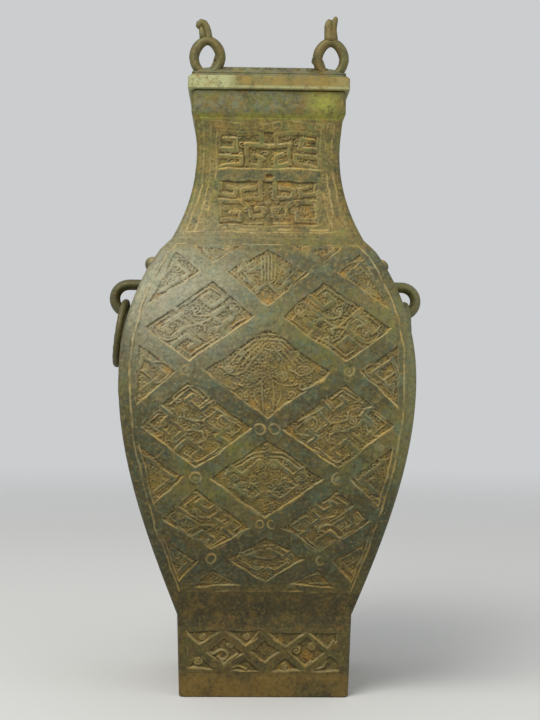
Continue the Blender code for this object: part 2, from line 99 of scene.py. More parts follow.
# Panels that carry the pattern: low and high end, margins at the sides, bed and back
BELLY_LOW, BELLY_HIGH = 80.5, 341.5
NECK_LOW, NECK_HIGH = 347.5, 440.0
PLINTH_LOW, PLINTH_HIGH = 18.5, 52.5
FRAME_MARGIN = 8.5
FRAME_OVERLAP = 2.0
NECK_SHARE = 0.925
PLINTH_MARGIN = 5.0
PANEL_BED = 2.4
PANEL_BACK = 2.7
FINE_SPLIT = 205.0  # the front of the belly is laid in two panels that meet here
FAR_DOWN = 1000.0

# Seeded noise of the pattern: points each way, their spacing, where it starts across the face
NOISE_COUNT = 640
NOISE_STEP = 0.5
NOISE_START = 150.0

# Lid
LID_BASE = SHEET_HEIGHT + 0.3
LID_HALF = 62.0
LID_EDGE = 10.3
LID_TOP = LID_BASE + LID_EDGE
CROWN = 9.6
CROWN_FLAT = 44.0
FLANGE_HALF = 54.0
FLANGE_DEPTH = 13.0

# Finials: place, height of the ring's top over the lid, hole, width and thickness of the ring
FINIAL_X, FINIAL_Y = 47.5, 52.0
FINIAL_RING_TOP = 32.4
FINIAL_HOLE = 19.5
FINIAL_WIDTH = 28.1
FINIAL_TUBE = 7.6

# Loops of the masks and ring handles
LOOP_Z = 304.1
LOOP_TALL = 30.0
LOOP_THICK = 7.5
LOOP_STOUTER = 0.55
HANDLE_OUTER = 55.8
HANDLE_THICK = 5.8
LEFT_HANDLE_LEAN = math.radians(8.0)


def between(z, low, high):
    """Half width on the smooth curve between two stations."""
    span = high[0] - low[0]
    t = (z - low[0]) / span
    return ((2 * t ** 3 - 3 * t ** 2 + 1) * low[1] + (t ** 3 - 2 * t ** 2 + t) * span * low[2]
            + (3 * t ** 2 - 2 * t ** 3) * high[1] + (t ** 3 - t ** 2) * span * high[2])


def half_width(z):
    """Half width of the vessel's outside at a height."""
    if z <= FOOT[0]:
        return FOOT_HALF + (FOOT[1] - FOOT_HALF) * max(z, 0.0) / FOOT[0]
    if z <= BELLY[0]:
        return between(z, FOOT, BELLY)
    if z <= SHOULDER[0]:
        return between(z, BELLY, SHOULDER)
    if z <= NECK_BASE[0]:
        return SHOULDER[1] + (NECK_BASE[1] - SHOULDER[1]) * (z - SHOULDER[0]) / (NECK_BASE[0] - SHOULDER[0])
    if z <= WAIST[0]:
        return between(z, NECK_BASE, WAIST)
    if z <= COLLAR[0]:
        return between(z, WAIST, COLLAR)
    return min(MOUTH_HALF, COLLAR[1] + (z - COLLAR[0]) * 0.5)


def slope_at(z):
    """How fast the half width grows with height."""
    return half_width(z + 0.4) / 0.8 - half_width(z - 0.4) / 0.8


def on_face(u, z, lift):
    """Place on the front face, lifted along its normal, in metres."""
    slope = slope_at(z)
    steep = math.hypot(1.0, slope)
    return Vector((u, -half_width(z) - lift / steep, z - lift * slope / steep)) * MM


def seen(x, y):
    """Place (across, height) on the front face that the photo shows at a pixel."""
    centre = CENTRE_AT_TOP - ROLL * y
    y = y - ROLL * (x - centre)
    z = CAMERA_HEIGHT
    for _ in range(8):
        depth = CAMERA_AWAY - half_width(z)
        z = CAMERA_HEIGHT + (HORIZON - y) * depth / FOCAL
    return (x - centre) * depth / FOCAL, z


def piece(name, bm, finish, body="vessel"):
    """Finished mesh as an object that rides on a body."""
    mesh = bpy.data.meshes.new(name)
    bm.to_mesh(mesh)
    bm.free()
    made = bpy.data.objects.new(name, mesh)
    bpy.context.scene.collection.objects.link(made)
    mesh.materials.append(finish)
    for face in mesh.polygons:
        face.use_smooth = True
    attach(made, body)
    return made


def turned(bm, verts, quarter):
    """Turn corners about the upright axis by quarters of a turn."""
    bmesh.ops.rotate(bm, verts=verts, cent=(0, 0, 0), matrix=Matrix.Rotation(quarter * math.pi / 2, 3, "Z"))


# Materials


def tone(red, green, blue):
    """A colour read from the photo (0 to 255) as linear light."""
    return tuple(((c / 255 + 0.055) / 1.055) ** 2.4 if c > 10 else c / 255 / 12.92
                 for c in (red, green, blue)) + (1.0,)


class Wire:
    """A shader value that can be used in sums and products."""

    def __init__(self, finish, socket):
        self.finish = finish
        self.socket = socket

    def sum(self, operation, first, second, clamp=False):
        return self.finish.node("ShaderNodeMath", {"operation": operation, "use_clamp": clamp},
                                {0: first, 1: second})

    def __add__(self, other):
        return self.sum("ADD", self, other)

    def __radd__(self, other):
        return self.sum("ADD", other, self)

    def __rsub__(self, other):
        return self.sum("SUBTRACT", other, self)

    def __mul__(self, other):
        return self.sum("MULTIPLY", self, other)

    def __rmul__(self, other):
        return self.sum("MULTIPLY", other, self)

    def top(self, other):
        """The larger of the two."""
        return self.sum("MAXIMUM", self, other)

    def held(self):
        """Kept between 0 and 1."""
        return self.sum("ADD", self, 0.0, clamp=True)


class Finish:
    """A material whose nodes are made from expressions."""

    def __init__(self, name):
        self.material = bpy.data.materials.new(name)
        self.material.use_nodes = True
        self.tree = self.material.node_tree
        self.shader = self.tree.nodes["Principled BSDF"]
        self.place = self.node("ShaderNodeTexCoord", {}, {}, "Object")

    def node(self, kind, settings, sockets, out=0):
        """One node with its settings and what feeds its sockets; gives the output back as a Wire."""
        made = self.tree.nodes.new(kind)
        for key, value in settings.items():
            setattr(made, key, value)
        for key, value in sockets.items():
            if isinstance(value, Wire):
                self.tree.links.new(value.socket, made.inputs[key])
            else:
                made.inputs[key].default_value = value
        return Wire(self, made.outputs[out])

    def noise(self, size, detail, rough, shift=0.0):
        """Cloudy noise whose spots are about size metres wide."""
        moved = self.node("ShaderNodeMapping", {}, {"Vector": self.place, "Location": (shift, shift, shift)})
        return self.node("ShaderNodeTexNoise", {}, {"Vector": moved, "Scale": 1.0 / size, "Detail": detail,
                                                    "Roughness": rough, "Distortion": 0.0}, "Fac")

    def cells(self, size):
        """Distance from the middles of small cells about size metres wide."""
        return self.node("ShaderNodeTexVoronoi", {"feature": "F1"},
                         {"Vector": self.place, "Scale": 1.0 / size}, "Distance")

    def step(self, value, low, high):
        """0 below low, 1 above high, smooth between. low may be the larger one."""
        return self.node("ShaderNodeMapRange", {"interpolation_type": "SMOOTHSTEP"},
                         {"Value": value, "From Min": low, "From Max": high})

    def mix(self, factor, first, second, blend="MIX"):
        return self.node("ShaderNodeMix", {"data_type": "RGBA", "blend_type": blend, "clamp_factor": True},
                         {0: factor, 6: first, 7: second}, 2)

    def axis(self, name):
        return self.node("ShaderNodeSeparateXYZ", {}, {0: self.place}, name)

    def spot(self, centre, radius):
        """1 at a place, falling to 0 at the radius."""
        gap = self.node("ShaderNodeVectorMath", {"operation": "DISTANCE"}, {0: self.place, 1: centre},
                        "Value")
        return self.step(gap, radius, 0.0)

    def band(self, value, low, high, soft):
        """1 between low and high, with soft ends."""
        return self.step(value, low - soft, low + soft) * self.step(value, high + soft, high - soft)

    def mark(self, name):
        """A value kept on the mesh itself."""
        return self.node("ShaderNodeAttribute", {"attribute_name": name}, {}, "Fac")

    def bump(self, height, strength, distance, under=None):
        sockets = {"Strength": strength, "Distance": distance, "Height": height}
        if under:
            sockets["Normal"] = under
        return self.node("ShaderNodeBump", {}, sockets)

    def feed(self, **sockets):
        """Wires or plain values for the shader's own sockets."""
        for key, value in sockets.items():
            socket = self.shader.inputs[key.replace("_", " ").title()]
            if isinstance(value, Wire):
                self.tree.links.new(value.socket, socket)
            else:
                socket.default_value = value


OLIVE = tone(108, 98, 56)
DARK_OLIVE = tone(76, 70, 42)
UMBER = tone(88, 72, 36)
EARTH = tone(132, 104, 46)
OCHRE = tone(172, 124, 42)
TAN = tone(142, 124, 76)
GOLD = tone(188, 156, 88)
GREY_GREEN = tone(158, 156, 132)
GREEN = tone(104, 110, 60)
YELLOW_OLIVE = tone(128, 116, 52)
DARK_BROWN = tone(46, 40, 24)
RUST = tone(160, 92, 46)
LIME = tone(150, 152, 62)
BLUE_GREY = tone(100, 106, 94)
BAND_GREY = tone(70, 76, 58)
BAND_BROWN = tone(74, 66, 38)
LID_PALE = tone(164, 166, 118)
LID_OCHRE = tone(146, 124, 62)
STRIP = tone(132, 132, 54)
COLLAR_GREY = tone(108, 114, 98)
TEAL = tone(96, 112, 92)
CELL_EARTH = tone(158, 130, 60)
MAUVE = tone(112, 98, 86)
SPECK_SHADE = (0.50, 0.50, 0.50, 1.0)
SHADE = (0.60, 0.60, 0.52, 1.0)
WARM = (0.98, 0.98, 0.80, 1.0)

# Zones of the finish: low end, high end and softness in metres of height
BELLY_ZONE = (0.085, 0.345, 0.01)
LATTICE_ZONE = (0.085, 0.335, 0.006)
BLOOM_ZONE = (0.09, 0.345, 0.01)
PLAIN_ZONE = (0.0525, 0.080, 0.004)
NECK_BAR_ZONE = (0.3925, 0.3998, 0.0006)
STRIP_ZONE = (0.4385, 0.4435, 0.0012)
COLLAR_ZONE = (0.442, 0.461, 0.0015)

# Spots of the finish: middle and radius in metres
BLOOM_SPOT = ((-0.070, -0.100, 0.300), 0.105)
# painted shade: a darker spot at the upper right of the belly
SHADE_SPOT = ((0.048, -0.108, 0.288), 0.085)
LIME_SPOT = ((0.041, -0.060, 0.4525), 0.019)


class Ground:
    """Noises and marks that all layers of one finish go by."""

    def __init__(self, f):
        self.x, self.z = f.axis("X"), f.axis("Z")
        self.broad = f.noise(0.085, 4.0, 0.6)
        self.cloud = f.noise(0.026, 5.0, 0.65, 3.1)
        self.tint = f.noise(0.011, 5.0, 0.75, 51.0)
        self.mottle = f.noise(0.011, 5.0, 0.7, 5.5)
        self.dapple = f.noise(0.0075, 5.0, 0.75, 21.0)
        self.fleck = f.noise(0.005, 5.0, 0.7, 7.7)
        self.speck = f.noise(0.0026, 3.0, 0.7, 41.0)
        self.grain = f.noise(0.0016, 3.0, 0.6, 1.3)
        self.low = f.mark("low")
        # narrow hollows, darkened in the colour as painted shade
        self.cavity_shade = f.mark("cavity_shade")
        self.bloom = f.spot(*BLOOM_SPOT)
        self.belly = f.band(self.z, *BELLY_ZONE)


def olive_ground(f, g, pale, ochre):
    """Cloudy olive with green, blue grey and yellow patches, and the grey-green bloom at the upper left."""
    colour = f.mix(f.step(g.cloud, 0.36, 0.60), DARK_OLIVE, OLIVE)
    colour = f.mix(f.step(g.broad, 0.44, 0.62) * f.step(g.mottle, 0.35, 0.60) * 0.8, colour, GREEN)
    blue = f.band(g.z, *BLOOM_ZONE) * f.step(g.dapple, 0.50, 0.62) * (0.60 - 0.45 * g.low)
    colour = f.mix(blue, colour, BLUE_GREY)
    colour = f.mix(f.step(g.dapple, 0.47, 0.36) * 0.70, colour, YELLOW_OLIVE)
    colour = f.mix(f.step(f.noise(0.022, 5.0, 0.7, 11.0), 0.50, 0.64) * (0.35 + ochre), colour, EARTH)
    colour = f.mix(g.low * f.step(g.mottle, 0.38, 0.62) * 0.35, colour, UMBER)
    grey = (g.bloom * (0.25 + g.cloud * 0.9) + pale * f.step(g.cloud, 0.4, 0.6)).held()
    return f.mix(grey, colour, GREY_GREEN)


def foot_and_collar(f, g, colour):
    """Browner foot, earth at its edge, the bar of the neck and the plain collar with its lime patch."""
    colour = f.mix(f.step(g.z, 0.17, 0.05) * 0.55, colour, UMBER)
    colour = f.mix(f.band(g.z, *PLAIN_ZONE) * 0.40, colour, DARK_BROWN)
    colour = f.mix(f.step(g.z, 0.022, 0.014) * f.step(g.cloud, 0.30, 0.52) * 0.9, colour, EARTH)
    from_middle = f.node("ShaderNodeMath", {"operation": "ABSOLUTE"}, {0: g.x})
    bar = f.band(g.z, *NECK_BAR_ZONE) * f.step(from_middle, 0.041, 0.039)
    colour = f.mix(bar * 0.6, colour, BAND_GREY)
    collar = f.band(g.z, *COLLAR_ZONE) * f.step(g.x, 0.050, 0.005)
    colour = f.mix(collar * f.step(g.dapple, 0.58, 0.42) * 0.75, colour, COLLAR_GREY)
    colour = f.mix(f.band(g.z, *STRIP_ZONE) * f.step(g.mottle, 0.34, 0.56) * 0.75, colour, STRIP)
    return f.mix(f.spot(*LIME_SPOT) * f.step(g.mottle, 0.30, 0.6) * 0.95, colour, LIME)


def earth_bands_and_painted_light(f, g, colour):
    """Earth in the hollows, painted shade in the narrow hollows, the darker smooth bands of the lattice,
    small patches of other tints, and painted light: the belly's right side lighter, its left side darker.
    """
    colour = f.mix(g.low * f.step(f.noise(0.016, 5.0, 0.7, 17.0), 0.44, 0.60) * 0.45, colour, EARTH)
    colour = f.mix(f.mark("earth") * f.step(g.mottle, 0.38, 0.56) * (0.22 + 0.68 * g.low), colour, OCHRE)
    # painted shade: dark brown in the narrow hollows
    colour = f.mix(g.cavity_shade * 0.40 * f.step(g.fleck, 0.36, 0.56), colour, DARK_BROWN)
    bands = (1 - g.low) * (1 - g.bloom) * f.band(g.z, *LATTICE_ZONE) * f.step(g.broad, 0.66, 0.44)
    colour = f.mix(bands * 0.88, colour, f.mix(f.step(g.dapple, 0.40, 0.60), BAND_BROWN, BAND_GREY))
    colour = f.mix(f.step(g.tint, 0.53, 0.62) * g.belly * (0.45 - 0.35 * g.low), colour, TEAL)
    cell_earth = g.low * (1 - g.cavity_shade * 0.9) * g.belly * f.step(g.mottle, 0.38, 0.62) * (1 - g.bloom)
    colour = f.mix(cell_earth * 0.50, colour, CELL_EARTH)
    # painted shade: more dark brown in the narrow hollows of the belly
    colour = f.mix(g.cavity_shade * g.belly * 0.35, colour, DARK_BROWN)
    colour = f.mix(f.step(g.tint, 0.45, 0.36) * g.belly * 0.45, colour, MAUVE)
    colour = f.mix(f.step(g.tint, 0.50, 0.59) * (1 - g.belly) * 0.45, colour, EARTH)
    colour = f.mix(f.step(g.tint, 0.46, 0.37) * (1 - g.belly) * 0.40, colour, DARK_BROWN)
    # painted light: the right side of the belly lighter, the left side darker
    colour = f.mix(f.step(g.x, 0.088, 0.112) * g.belly * 0.30, colour, LID_PALE)
    return f.mix(f.step(g.x, -0.088, -0.112) * g.belly * 0.35, colour, DARK_OLIVE)


def rubbed_lines_and_painted_light(f, g, colour):
    """Rubbed tops of the lines, painted shadow on the walls that face down, and gold on the walls that face
    up and on the bright lines and rims: ochre and rubbed metal with painted highlight.
    """
    pale_line = f.step(g.tint, 0.44, 0.56) * 0.55
    streak = f.step(f.noise(0.018, 4.0, 0.65, 2.0), 0.36, 0.58)
    rubbed = f.mix((g.bloom * 0.7).top(pale_line), TAN, GREY_GREEN)
    colour = f.mix(f.mark("crest") * (0.15 + 0.60 * f.step(g.mottle, 0.42, 0.60)), colour, rubbed)
    # painted shadow: dark brown on the walls that face down
    colour = f.mix(f.mark("under") * 0.65, colour, DARK_BROWN)
    # ochre and painted highlight: gold on the walls that face up
    ochre_and_highlight_gold = f.mix((g.bloom * 0.6).top(pale_line), GOLD, GREY_GREEN)
    colour = f.mix(f.mark("ledge") * (0.15 + 0.60 * streak), colour, ochre_and_highlight_gold)
    # gold on the bright marks: rubbed metal on line tops, painted highlight on the rims of the sunk cells
    rub_and_highlight_gold = f.mix((g.bloom * 0.5).top(pale_line), GOLD, GREY_GREEN)
    return f.mix(f.mark("bright") * (0.25 + 0.75 * streak), colour, rub_and_highlight_gold)


def specks_and_shade(f, g, colour):
    """Fine dark, pale, gold and rust specks, a warm tint outside the bloom, then painted shade: darker
    towards the bottom and in a spot at the upper right of the belly.
    """
    colour = f.mix(f.step(g.speck, 0.48, 0.34) * 0.65, colour, SPECK_SHADE, "MULTIPLY")
    colour = f.mix(f.step(g.speck, 0.53, 0.68) * 0.55, colour, f.mix(g.bloom, TAN, GREY_GREEN))
    colour = f.mix(f.step(g.fleck, 0.62, 0.74) * 0.30, colour, GOLD)
    colour = f.mix(f.step(f.noise(0.007, 3.0, 0.6, 9.0), 0.66, 0.74) * 0.25, colour, RUST)
    colour = f.mix(f.step(g.fleck, 0.42, 0.30) * 0.45, colour, DARK_BROWN)
    colour = f.mix((1 - g.bloom) * 0.9, colour, WARM, "MULTIPLY")
    # painted shade: darker towards the bottom
    colour = f.mix(f.step(g.z, 0.26, 0.06) * 0.85, colour, SHADE, "MULTIPLY")
    # painted shade: a darker spot at the upper right of the belly
    return f.mix(f.spot(*SHADE_SPOT) * 0.55, colour, SHADE, "MULTIPLY")


def lid_edge(f, g, colour):
    """Ochre edge of the lid, chipped pale at the left end and along its lower strip."""
    edge_side = f.step(g.z, (LID_TOP + 0.6) * MM, (LID_TOP - 0.6) * MM)
    colour = f.mix((1 - edge_side) * f.step(g.dapple, 0.60, 0.40) * 0.5, colour, BLUE_GREY)
    colour = f.mix(edge_side * f.step(g.dapple, 0.38, 0.56) * 0.85, colour, LID_OCHRE)
    lower_strip = f.band(g.z, LID_BASE * MM, (LID_BASE + 2.6) * MM, 0.0008)
    end = f.step(g.x, -0.020, -0.034).top(f.step(g.x, 0.046, 0.056) * 0.25).top(lower_strip * 0.7)
    colour = f.mix(edge_side * end * f.step(g.speck * 0.5 + g.mottle * 0.5, 0.34, 0.52), colour, LID_PALE)
    return f.mix(edge_side * f.step(f.noise(0.010, 5.0, 0.8, 31.0), 0.56, 0.64) * 0.5, colour, DARK_OLIVE)


def patina(name, pale=0.0, ochre=0.0, dark=0.0, lid_band=False):
    """Corroded cast bronze: cloudy olive ground with grey green, ochre and brown earth in the hollows, and
    painted shade and highlight in its colour.
    """
    f = Finish(name)
    g = Ground(f)
    colour = olive_ground(f, g, pale, ochre)
    for layer in (foot_and_collar, earth_bands_and_painted_light, rubbed_lines_and_painted_light, specks_and_shade):
        colour = layer(f, g, colour)
    if lid_band:
        colour = lid_edge(f, g, colour)
    if dark:
        colour = f.mix(dark, colour, DARK_OLIVE)
    pits = f.step(f.cells(0.0035), 0.10, 0.32)
    under_coat = f.bump(g.cloud * 0.5 + g.mottle * 0.5, 0.5, 0.0014)
    normal = f.bump(g.grain * 0.5 + g.fleck * 0.6 + pits * 0.3, 0.40, 0.0005, under_coat)
    f.feed(base_color=colour, roughness=(0.38 + 0.26 * g.fleck + 0.14 * g.cloud + g.low * 0.12).held(),
           normal=normal, metallic=0.30)
    return f.material


# Vessel body: one side as a grid that runs over the whole section, turned four times


def panel_reach(z):
    """Half width of the pattern panel that lies on a side at a height, 0 where there is none."""
    if BELLY_LOW <= z <= BELLY_HIGH:
        return half_width(z) - FRAME_MARGIN + FRAME_OVERLAP
    if NECK_LOW <= z <= NECK_HIGH:
        return NECK_SHARE * half_width(z)
    if PLINTH_LOW <= z <= PLINTH_HIGH:
        return half_width(z) - PLINTH_MARGIN
    return 0.0


# Heights of rows where the outside is plain: foot edge, step over the foot, shoulder, collar
PLAIN_HEIGHTS = (1.0, 6.0, 12.0, 57.0, 61.2, 62.0, 62.8, 67.0, 72.0, 76.0, 343.5, 345.5,
                 441.0, 442.5, 444.2, 448.0, 454.0, MOUTH - 0.8)


def section():
    """(half width, height, bed) up the whole closed section. bed is how far the panels' bed is sunk."""
    rows = [(0.0, FLOOR_UNDERSIDE, 0), (30.0, FLOOR_UNDERSIDE, 0), (FOOT_INSIDE - 1.5, FLOOR_UNDERSIDE, 0),
            (FOOT_INSIDE, FLOOR_UNDERSIDE - 1.5, 0), (FOOT_INSIDE, 25.0, 0), (FOOT_INSIDE, 1.2, 0),
            (FOOT_INSIDE + 1.0, 0.0, 0), (FOOT_HALF - 1.0, 0.0, 0)]
    outside = [(z, 0.0) for z in PLAIN_HEIGHTS]
    for low, high, count in ((PLINTH_LOW, PLINTH_HIGH, 6), (BELLY_LOW, BELLY_HIGH, 48),
                             (NECK_LOW, NECK_HIGH, 18)):
        heights = [low + (high - low) * k / count for k in range(count + 1)]
        outside += [(low, 0.0), (high, 0.0001)] + [(z, PANEL_BED) for z in heights]
    low_ends = (PLINTH_LOW, BELLY_LOW, NECK_LOW)
    outside.sort(key=lambda row: (row[0], row[1] if row[0] in low_ends else -row[1]))
    rows += [(half_width(z), z, bed) for z, bed in outside]
    rows += [(MOUTH_HALF - 0.8, MOUTH, 0), (LIP_INSIDE + 0.8, MOUTH, 0), (LIP_INSIDE, MOUTH - 0.8, 0)]
    for z in [450.0, 440.0] + [440.0 - 7.0 * k for k in range(1, 55)]:
        inside = half_width(z) - WALL * math.hypot(1.0, slope_at(z))
        rows.append((min(inside, LIP_INSIDE) if z > COLLAR[0] else inside, z, 0))
    return rows + [(half_width(FLOOR_TOP) - WALL - 2.0, FLOOR_TOP, 0), (32.0, FLOOR_TOP, 0),
                   (0.0, FLOOR_TOP, 0)]


# Columns of one side: steps round each half corner, then (share of the flat, sunk or not) across it
CORNER_STEPS = 3
FLAT_PLACES = ((-1, 0), (-1, 1), (-0.33, 1), (0.33, 1), (1, 1), (1, 0))


def side_place(k, half, z, bed):
    """Place of one column of the grid at a height, with the rounded corner at both ends."""
    radius = min(CORNER, half)
    flat = half - radius
    inner = k - CORNER_STEPS
    count = len(FLAT_PLACES)
    if 1 <= inner <= count:
        share, sunk = FLAT_PLACES[inner - 1]
        reach = (panel_reach(z) or 0.9 * flat) if bed else 0.9 * flat
        if bed >= PANEL_BED and sunk:
            return on_face(share * min(reach, flat), z, -bed)
        return Vector((share * min(reach, flat), -half, z)) * MM
    over = 1 - inner if inner < 1 else inner - count
    angle = math.pi / 4 * (over - 1) / CORNER_STEPS
    wear = 0.35 * (1 + math.sin(z * 0.21) * math.sin(z * 0.083 + 1.0)) * math.sin(angle * 2)
    across = flat + radius * math.sin(angle) - wear * math.sin(angle)
    out = flat + radius * math.cos(angle) - wear * math.cos(angle)
    if over == CORNER_STEPS + 1:
        across = out = (across + out) / 2
    return Vector((-across if inner < 1 else across, -out, z)) * MM


def four_sides(bm):
    """Copy one side to the other three."""
    side = list(bm.verts) + list(bm.edges) + list(bm.faces)
    for quarter in (1, 2, 3):
        copied = bmesh.ops.duplicate(bm, geom=side)
        turned(bm, [v for v in copied["geom"] if isinstance(v, bmesh.types.BMVert)], quarter)


def vessel_body(finish):
    """Hollow body with its foot, plain but for the sunk beds of the panels."""
    rows = section()
    columns = 2 * (CORNER_STEPS + 1) + len(FLAT_PLACES) - 1
    bm = bmesh.new()
    bmesh.ops.create_grid(bm, x_segments=columns, y_segments=len(rows) - 1, size=1.0)
    for vert in bm.verts:
        k = round((vert.co.x + 1) / 2 * columns)
        half, z, bed = rows[round((vert.co.y + 1) / 2 * (len(rows) - 1))]
        vert.co = side_place(k, half, z, bed)
    four_sides(bm)
    bmesh.ops.remove_doubles(bm, verts=bm.verts, dist=0.02 * MM)
    bmesh.ops.recalc_face_normals(bm, faces=bm.faces)
    body = piece("vessel_body", bm, finish)
    body.data.set_sharp_from_angle(angle=math.radians(32))
    return body


# Pattern: heights over a panel, worked out on a fine grid and then laid on the face


def smooth(t):
    """0 below 0, 1 above 1, smooth between."""
    t = np.clip(t, 0.0, 1.0)
    return t * t * (3.0 - 2.0 * t)


GROWN = {}


def grown(seed, wave, spread):
    """Seeded noise with one wavelength in mm: winding ridges when spread is small, clouds when large."""
    key = (seed, wave, spread)
    if key in GROWN:
        return GROWN[key]
    noise = np.random.default_rng(seed).standard_normal((NOISE_COUNT, NOISE_COUNT))
    turns = np.fft.fftfreq(NOISE_COUNT, d=NOISE_STEP)
    rate = np.hypot(turns[:, None], turns[None, :]) * wave
    kept = np.exp(-((rate - 1.0) / spread) ** 2) if spread < 1.0 else np.exp(-rate ** 2)
    made = np.fft.ifft2(np.fft.fft2(noise) * kept).real
    GROWN[key] = made / made.std()
    return GROWN[key]


class Field:
    """Heights of one pattern panel in mm off the smooth face, with what the finish needs to know."""

    def __init__(self, low, high, columns, rows):
        self.columns, self.rows = columns, rows
        self.z = np.linspace(low, high, rows + 1)
        self.reach = np.array([panel_reach(z) for z in self.z])
        self.u = np.outer(self.reach, np.linspace(-1.0, 1.0, columns + 1))
        self.v = np.repeat(self.z[:, None], columns + 1, axis=1)
        self.height = np.zeros_like(self.u)
        self.earth = np.zeros_like(self.u)
        self.bright = np.zeros_like(self.u)
        self.glow = 1.0
        self.broken = smooth(0.85 + 0.45 * self.noise(6, 13.0, 2.0))
        # the places as the lines see them, bent a little so that no line runs dead straight
        self.across = self.u + 0.45 * self.noise(1, 24.0, 2.0) + 0.16 * self.noise(2, 7.0, 2.0)
        self.up = self.v + 0.45 * self.noise(3, 24.0, 2.0) + 0.16 * self.noise(4, 7.0, 2.0)

    def noise(self, seed, wave, spread):
        """Grown noise at every place of the panel."""
        made = grown(seed, wave, spread)
        row, column = self.v / NOISE_STEP, (self.u + NOISE_START) / NOISE_STEP
        i, j = row.astype(int) % NOISE_COUNT, column.astype(int) % NOISE_COUNT
        fi, fj = row % 1.0, column % 1.0
        i1, j1 = (i + 1) % NOISE_COUNT, (j + 1) % NOISE_COUNT
        return ((made[i, j] * (1 - fi) + made[i1, j] * fi) * (1 - fj)
                + (made[i, j1] * (1 - fi) + made[i1, j1] * fi) * fj)

    def inside(self, corners):
        """Distance in from the border of a convex polygon, and from its lower sides alone."""
        area = sum(a[0] * b[1] - b[0] * a[1] for a, b in zip(corners, corners[1:] + corners[:1]))
        ring = corners if area > 0 else list(reversed(corners))
        depth = np.full_like(self.u, FAR_DOWN)
        lower = depth
        for p, q in zip(ring, ring[1:] + ring[:1]):
            length = math.hypot(q[0] - p[0], q[1] - p[1])
            normal = ((p[1] - q[1]) / length, (q[0] - p[0]) / length)
            gap = (self.across - p[0]) * normal[0] + (self.up - p[1]) * normal[1]
            if normal[1] > 0.2:
                lower = np.minimum(lower, gap)
            depth = np.minimum(depth, gap)
        return depth, lower

    def sink(self, corners, rim, depth=SINK):
        """Sunk field with a thin raised rim along its lower sides."""
        inside, lower = self.inside(corners)
        self.height = np.minimum(self.height, -depth * smooth(inside / WALL_RUN))
        on_rim = smooth(1.5 - np.abs(inside - 0.1) / 0.42) * (lower < inside + 0.3)
        self.height += rim * on_rim
        # the rim is marked bright for a painted highlight along the cell's lower edge
        self.bright = np.maximum(self.bright, on_rim * smooth(0.75 + 0.4 * self.noise(5, 16.0, 2.0)))

    def window(self, points, margin):
        """Rows of the panel that a line can reach."""
        low = min(z for _, z in points) - margin
        high = max(z for _, z in points) + margin
        return slice(int(np.searchsorted(self.z, low)), int(np.searchsorted(self.z, high)))

    def distance(self, points, closed, rows):
        """Distance of every place in the rows from a line."""
        u, v = self.across[rows], self.up[rows]
        best = np.full_like(u, FAR_DOWN)
        for a, b in zip(points, points[1:] + points[:1] if closed else points[1:]):
            du, dv = b[0] - a[0], b[1] - a[1]
            t = np.clip(((u - a[0]) * du + (v - a[1]) * dv) / max(1e-6, du * du + dv * dv), 0.0, 1.0)
            best = np.minimum(best, np.hypot(u - a[0] - t * du, v - a[1] - t * dv))
        return best

    def ribbon(self, points, half, top, closed=False, fall=1.5):
        """Raised line with a rounded top that falls off to both sides."""
        rows = self.window(points, half + 3.0)
        gap = self.distance(points, closed, rows)
        level = top - 0.15 * (gap / half) ** 2 - np.maximum(0.0, gap - half) * fall
        self.height[rows] = np.maximum(self.height[rows], level)
        strength = 0.16 + 0.60 * min(1.0, max(0.0, top + 0.40) * 1.9)
        over = np.abs(gap - half) / 0.4 if half > WIDE_LINE else gap / half
        shine = strength * self.glow * smooth(1.5 - over) * (level > self.height[rows] - 0.05)
        shine *= self.broken[rows]
        self.bright[rows] = np.maximum(self.bright[rows], shine)

    def groove(self, points, half, depth, closed=False):
        """Cut line."""
        rows = self.window(points, half + 1.0)
        gap = self.distance(points, closed, rows)
        self.height[rows] -= depth * smooth(1.0 - gap / half)

    def dome(self, u, z, wide, tall, rise):
        """Rounded swelling with an oval foot."""
        share = 1.0 - ((self.u - u) / wide) ** 2 - ((self.v - z) / tall) ** 2
        level = rise * np.maximum(0.0, share) ** 0.5
        self.height = np.where(share > 0.0, np.maximum(self.height, level), self.height)

    def patch(self, u, z, size):
        """Earth left in the pattern around a place."""
        gap = np.hypot(self.u - u, (self.v - z) * 1.2)
        self.earth = np.maximum(self.earth, smooth(1.0 - gap / size))

    def patches(self, spots):
        """Earth at (x, y, size in mm) spots of the photo."""
        for x, y, size in spots:
            self.patch(*seen(x, y), size)

    def draw(self, drawing):
        """Lay the lines of a drawing; one with a negative half thickness is cut in."""
        for points, half, top, closed in drawing.lines:
            if half < 0:
                self.groove(points, -half, top, closed)
            else:
                self.ribbon(points, half, top, closed)

    def marks(self):
        """Shares for the finish: low ground, walls that look up or down (painted highlight and painted
        shadow), line tops, narrow hollows (painted shade), earth, and the bright rims and lines.
        """
        rise = np.gradient(self.height, axis=0) / np.gradient(self.v, axis=0)
        blurred = self.height.copy()
        for _ in range(3):
            padded = np.pad(blurred, 1, mode="edge")
            blurred = (padded[:-2, 1:-1] + padded[2:, 1:-1] + padded[1:-1, :-2] + padded[1:-1, 2:]
                       + 2 * padded[1:-1, 1:-1]) / 6.0
        # walls facing up get painted highlight, walls facing down painted shadow, and narrow hollows painted
        # shade
        return {"low": smooth(-self.height / 1.1), "ledge": smooth(-rise * 0.9), "under": smooth(rise * 0.9),
                "crest": smooth((self.height - blurred) * 4.0), "cavity_shade": smooth((blurred - self.height) * 4.0),
                "earth": np.clip(self.earth, 0.0, 1.0), "bright": np.clip(self.bright, 0.0, 1.0)}


def on_side(field, quarter):
    """Rule that lays heights on one side of the vessel, counted in quarter turns from the front."""
    half = np.array([half_width(z) for z in field.z])
    slope = np.array([slope_at(z) for z in field.z])
    steep = np.hypot(1.0, slope)
    angle = quarter * math.pi / 2

    def laid(height, i, j):
        out = half[i] + height / steep[i]
        across, z = field.u[i, j], field.z[i] - height * slope[i] / steep[i]
        return np.stack([across * math.cos(angle) + out * math.sin(angle),
                         across * math.sin(angle) - out * math.cos(angle), z], axis=1) * MM
    return laid


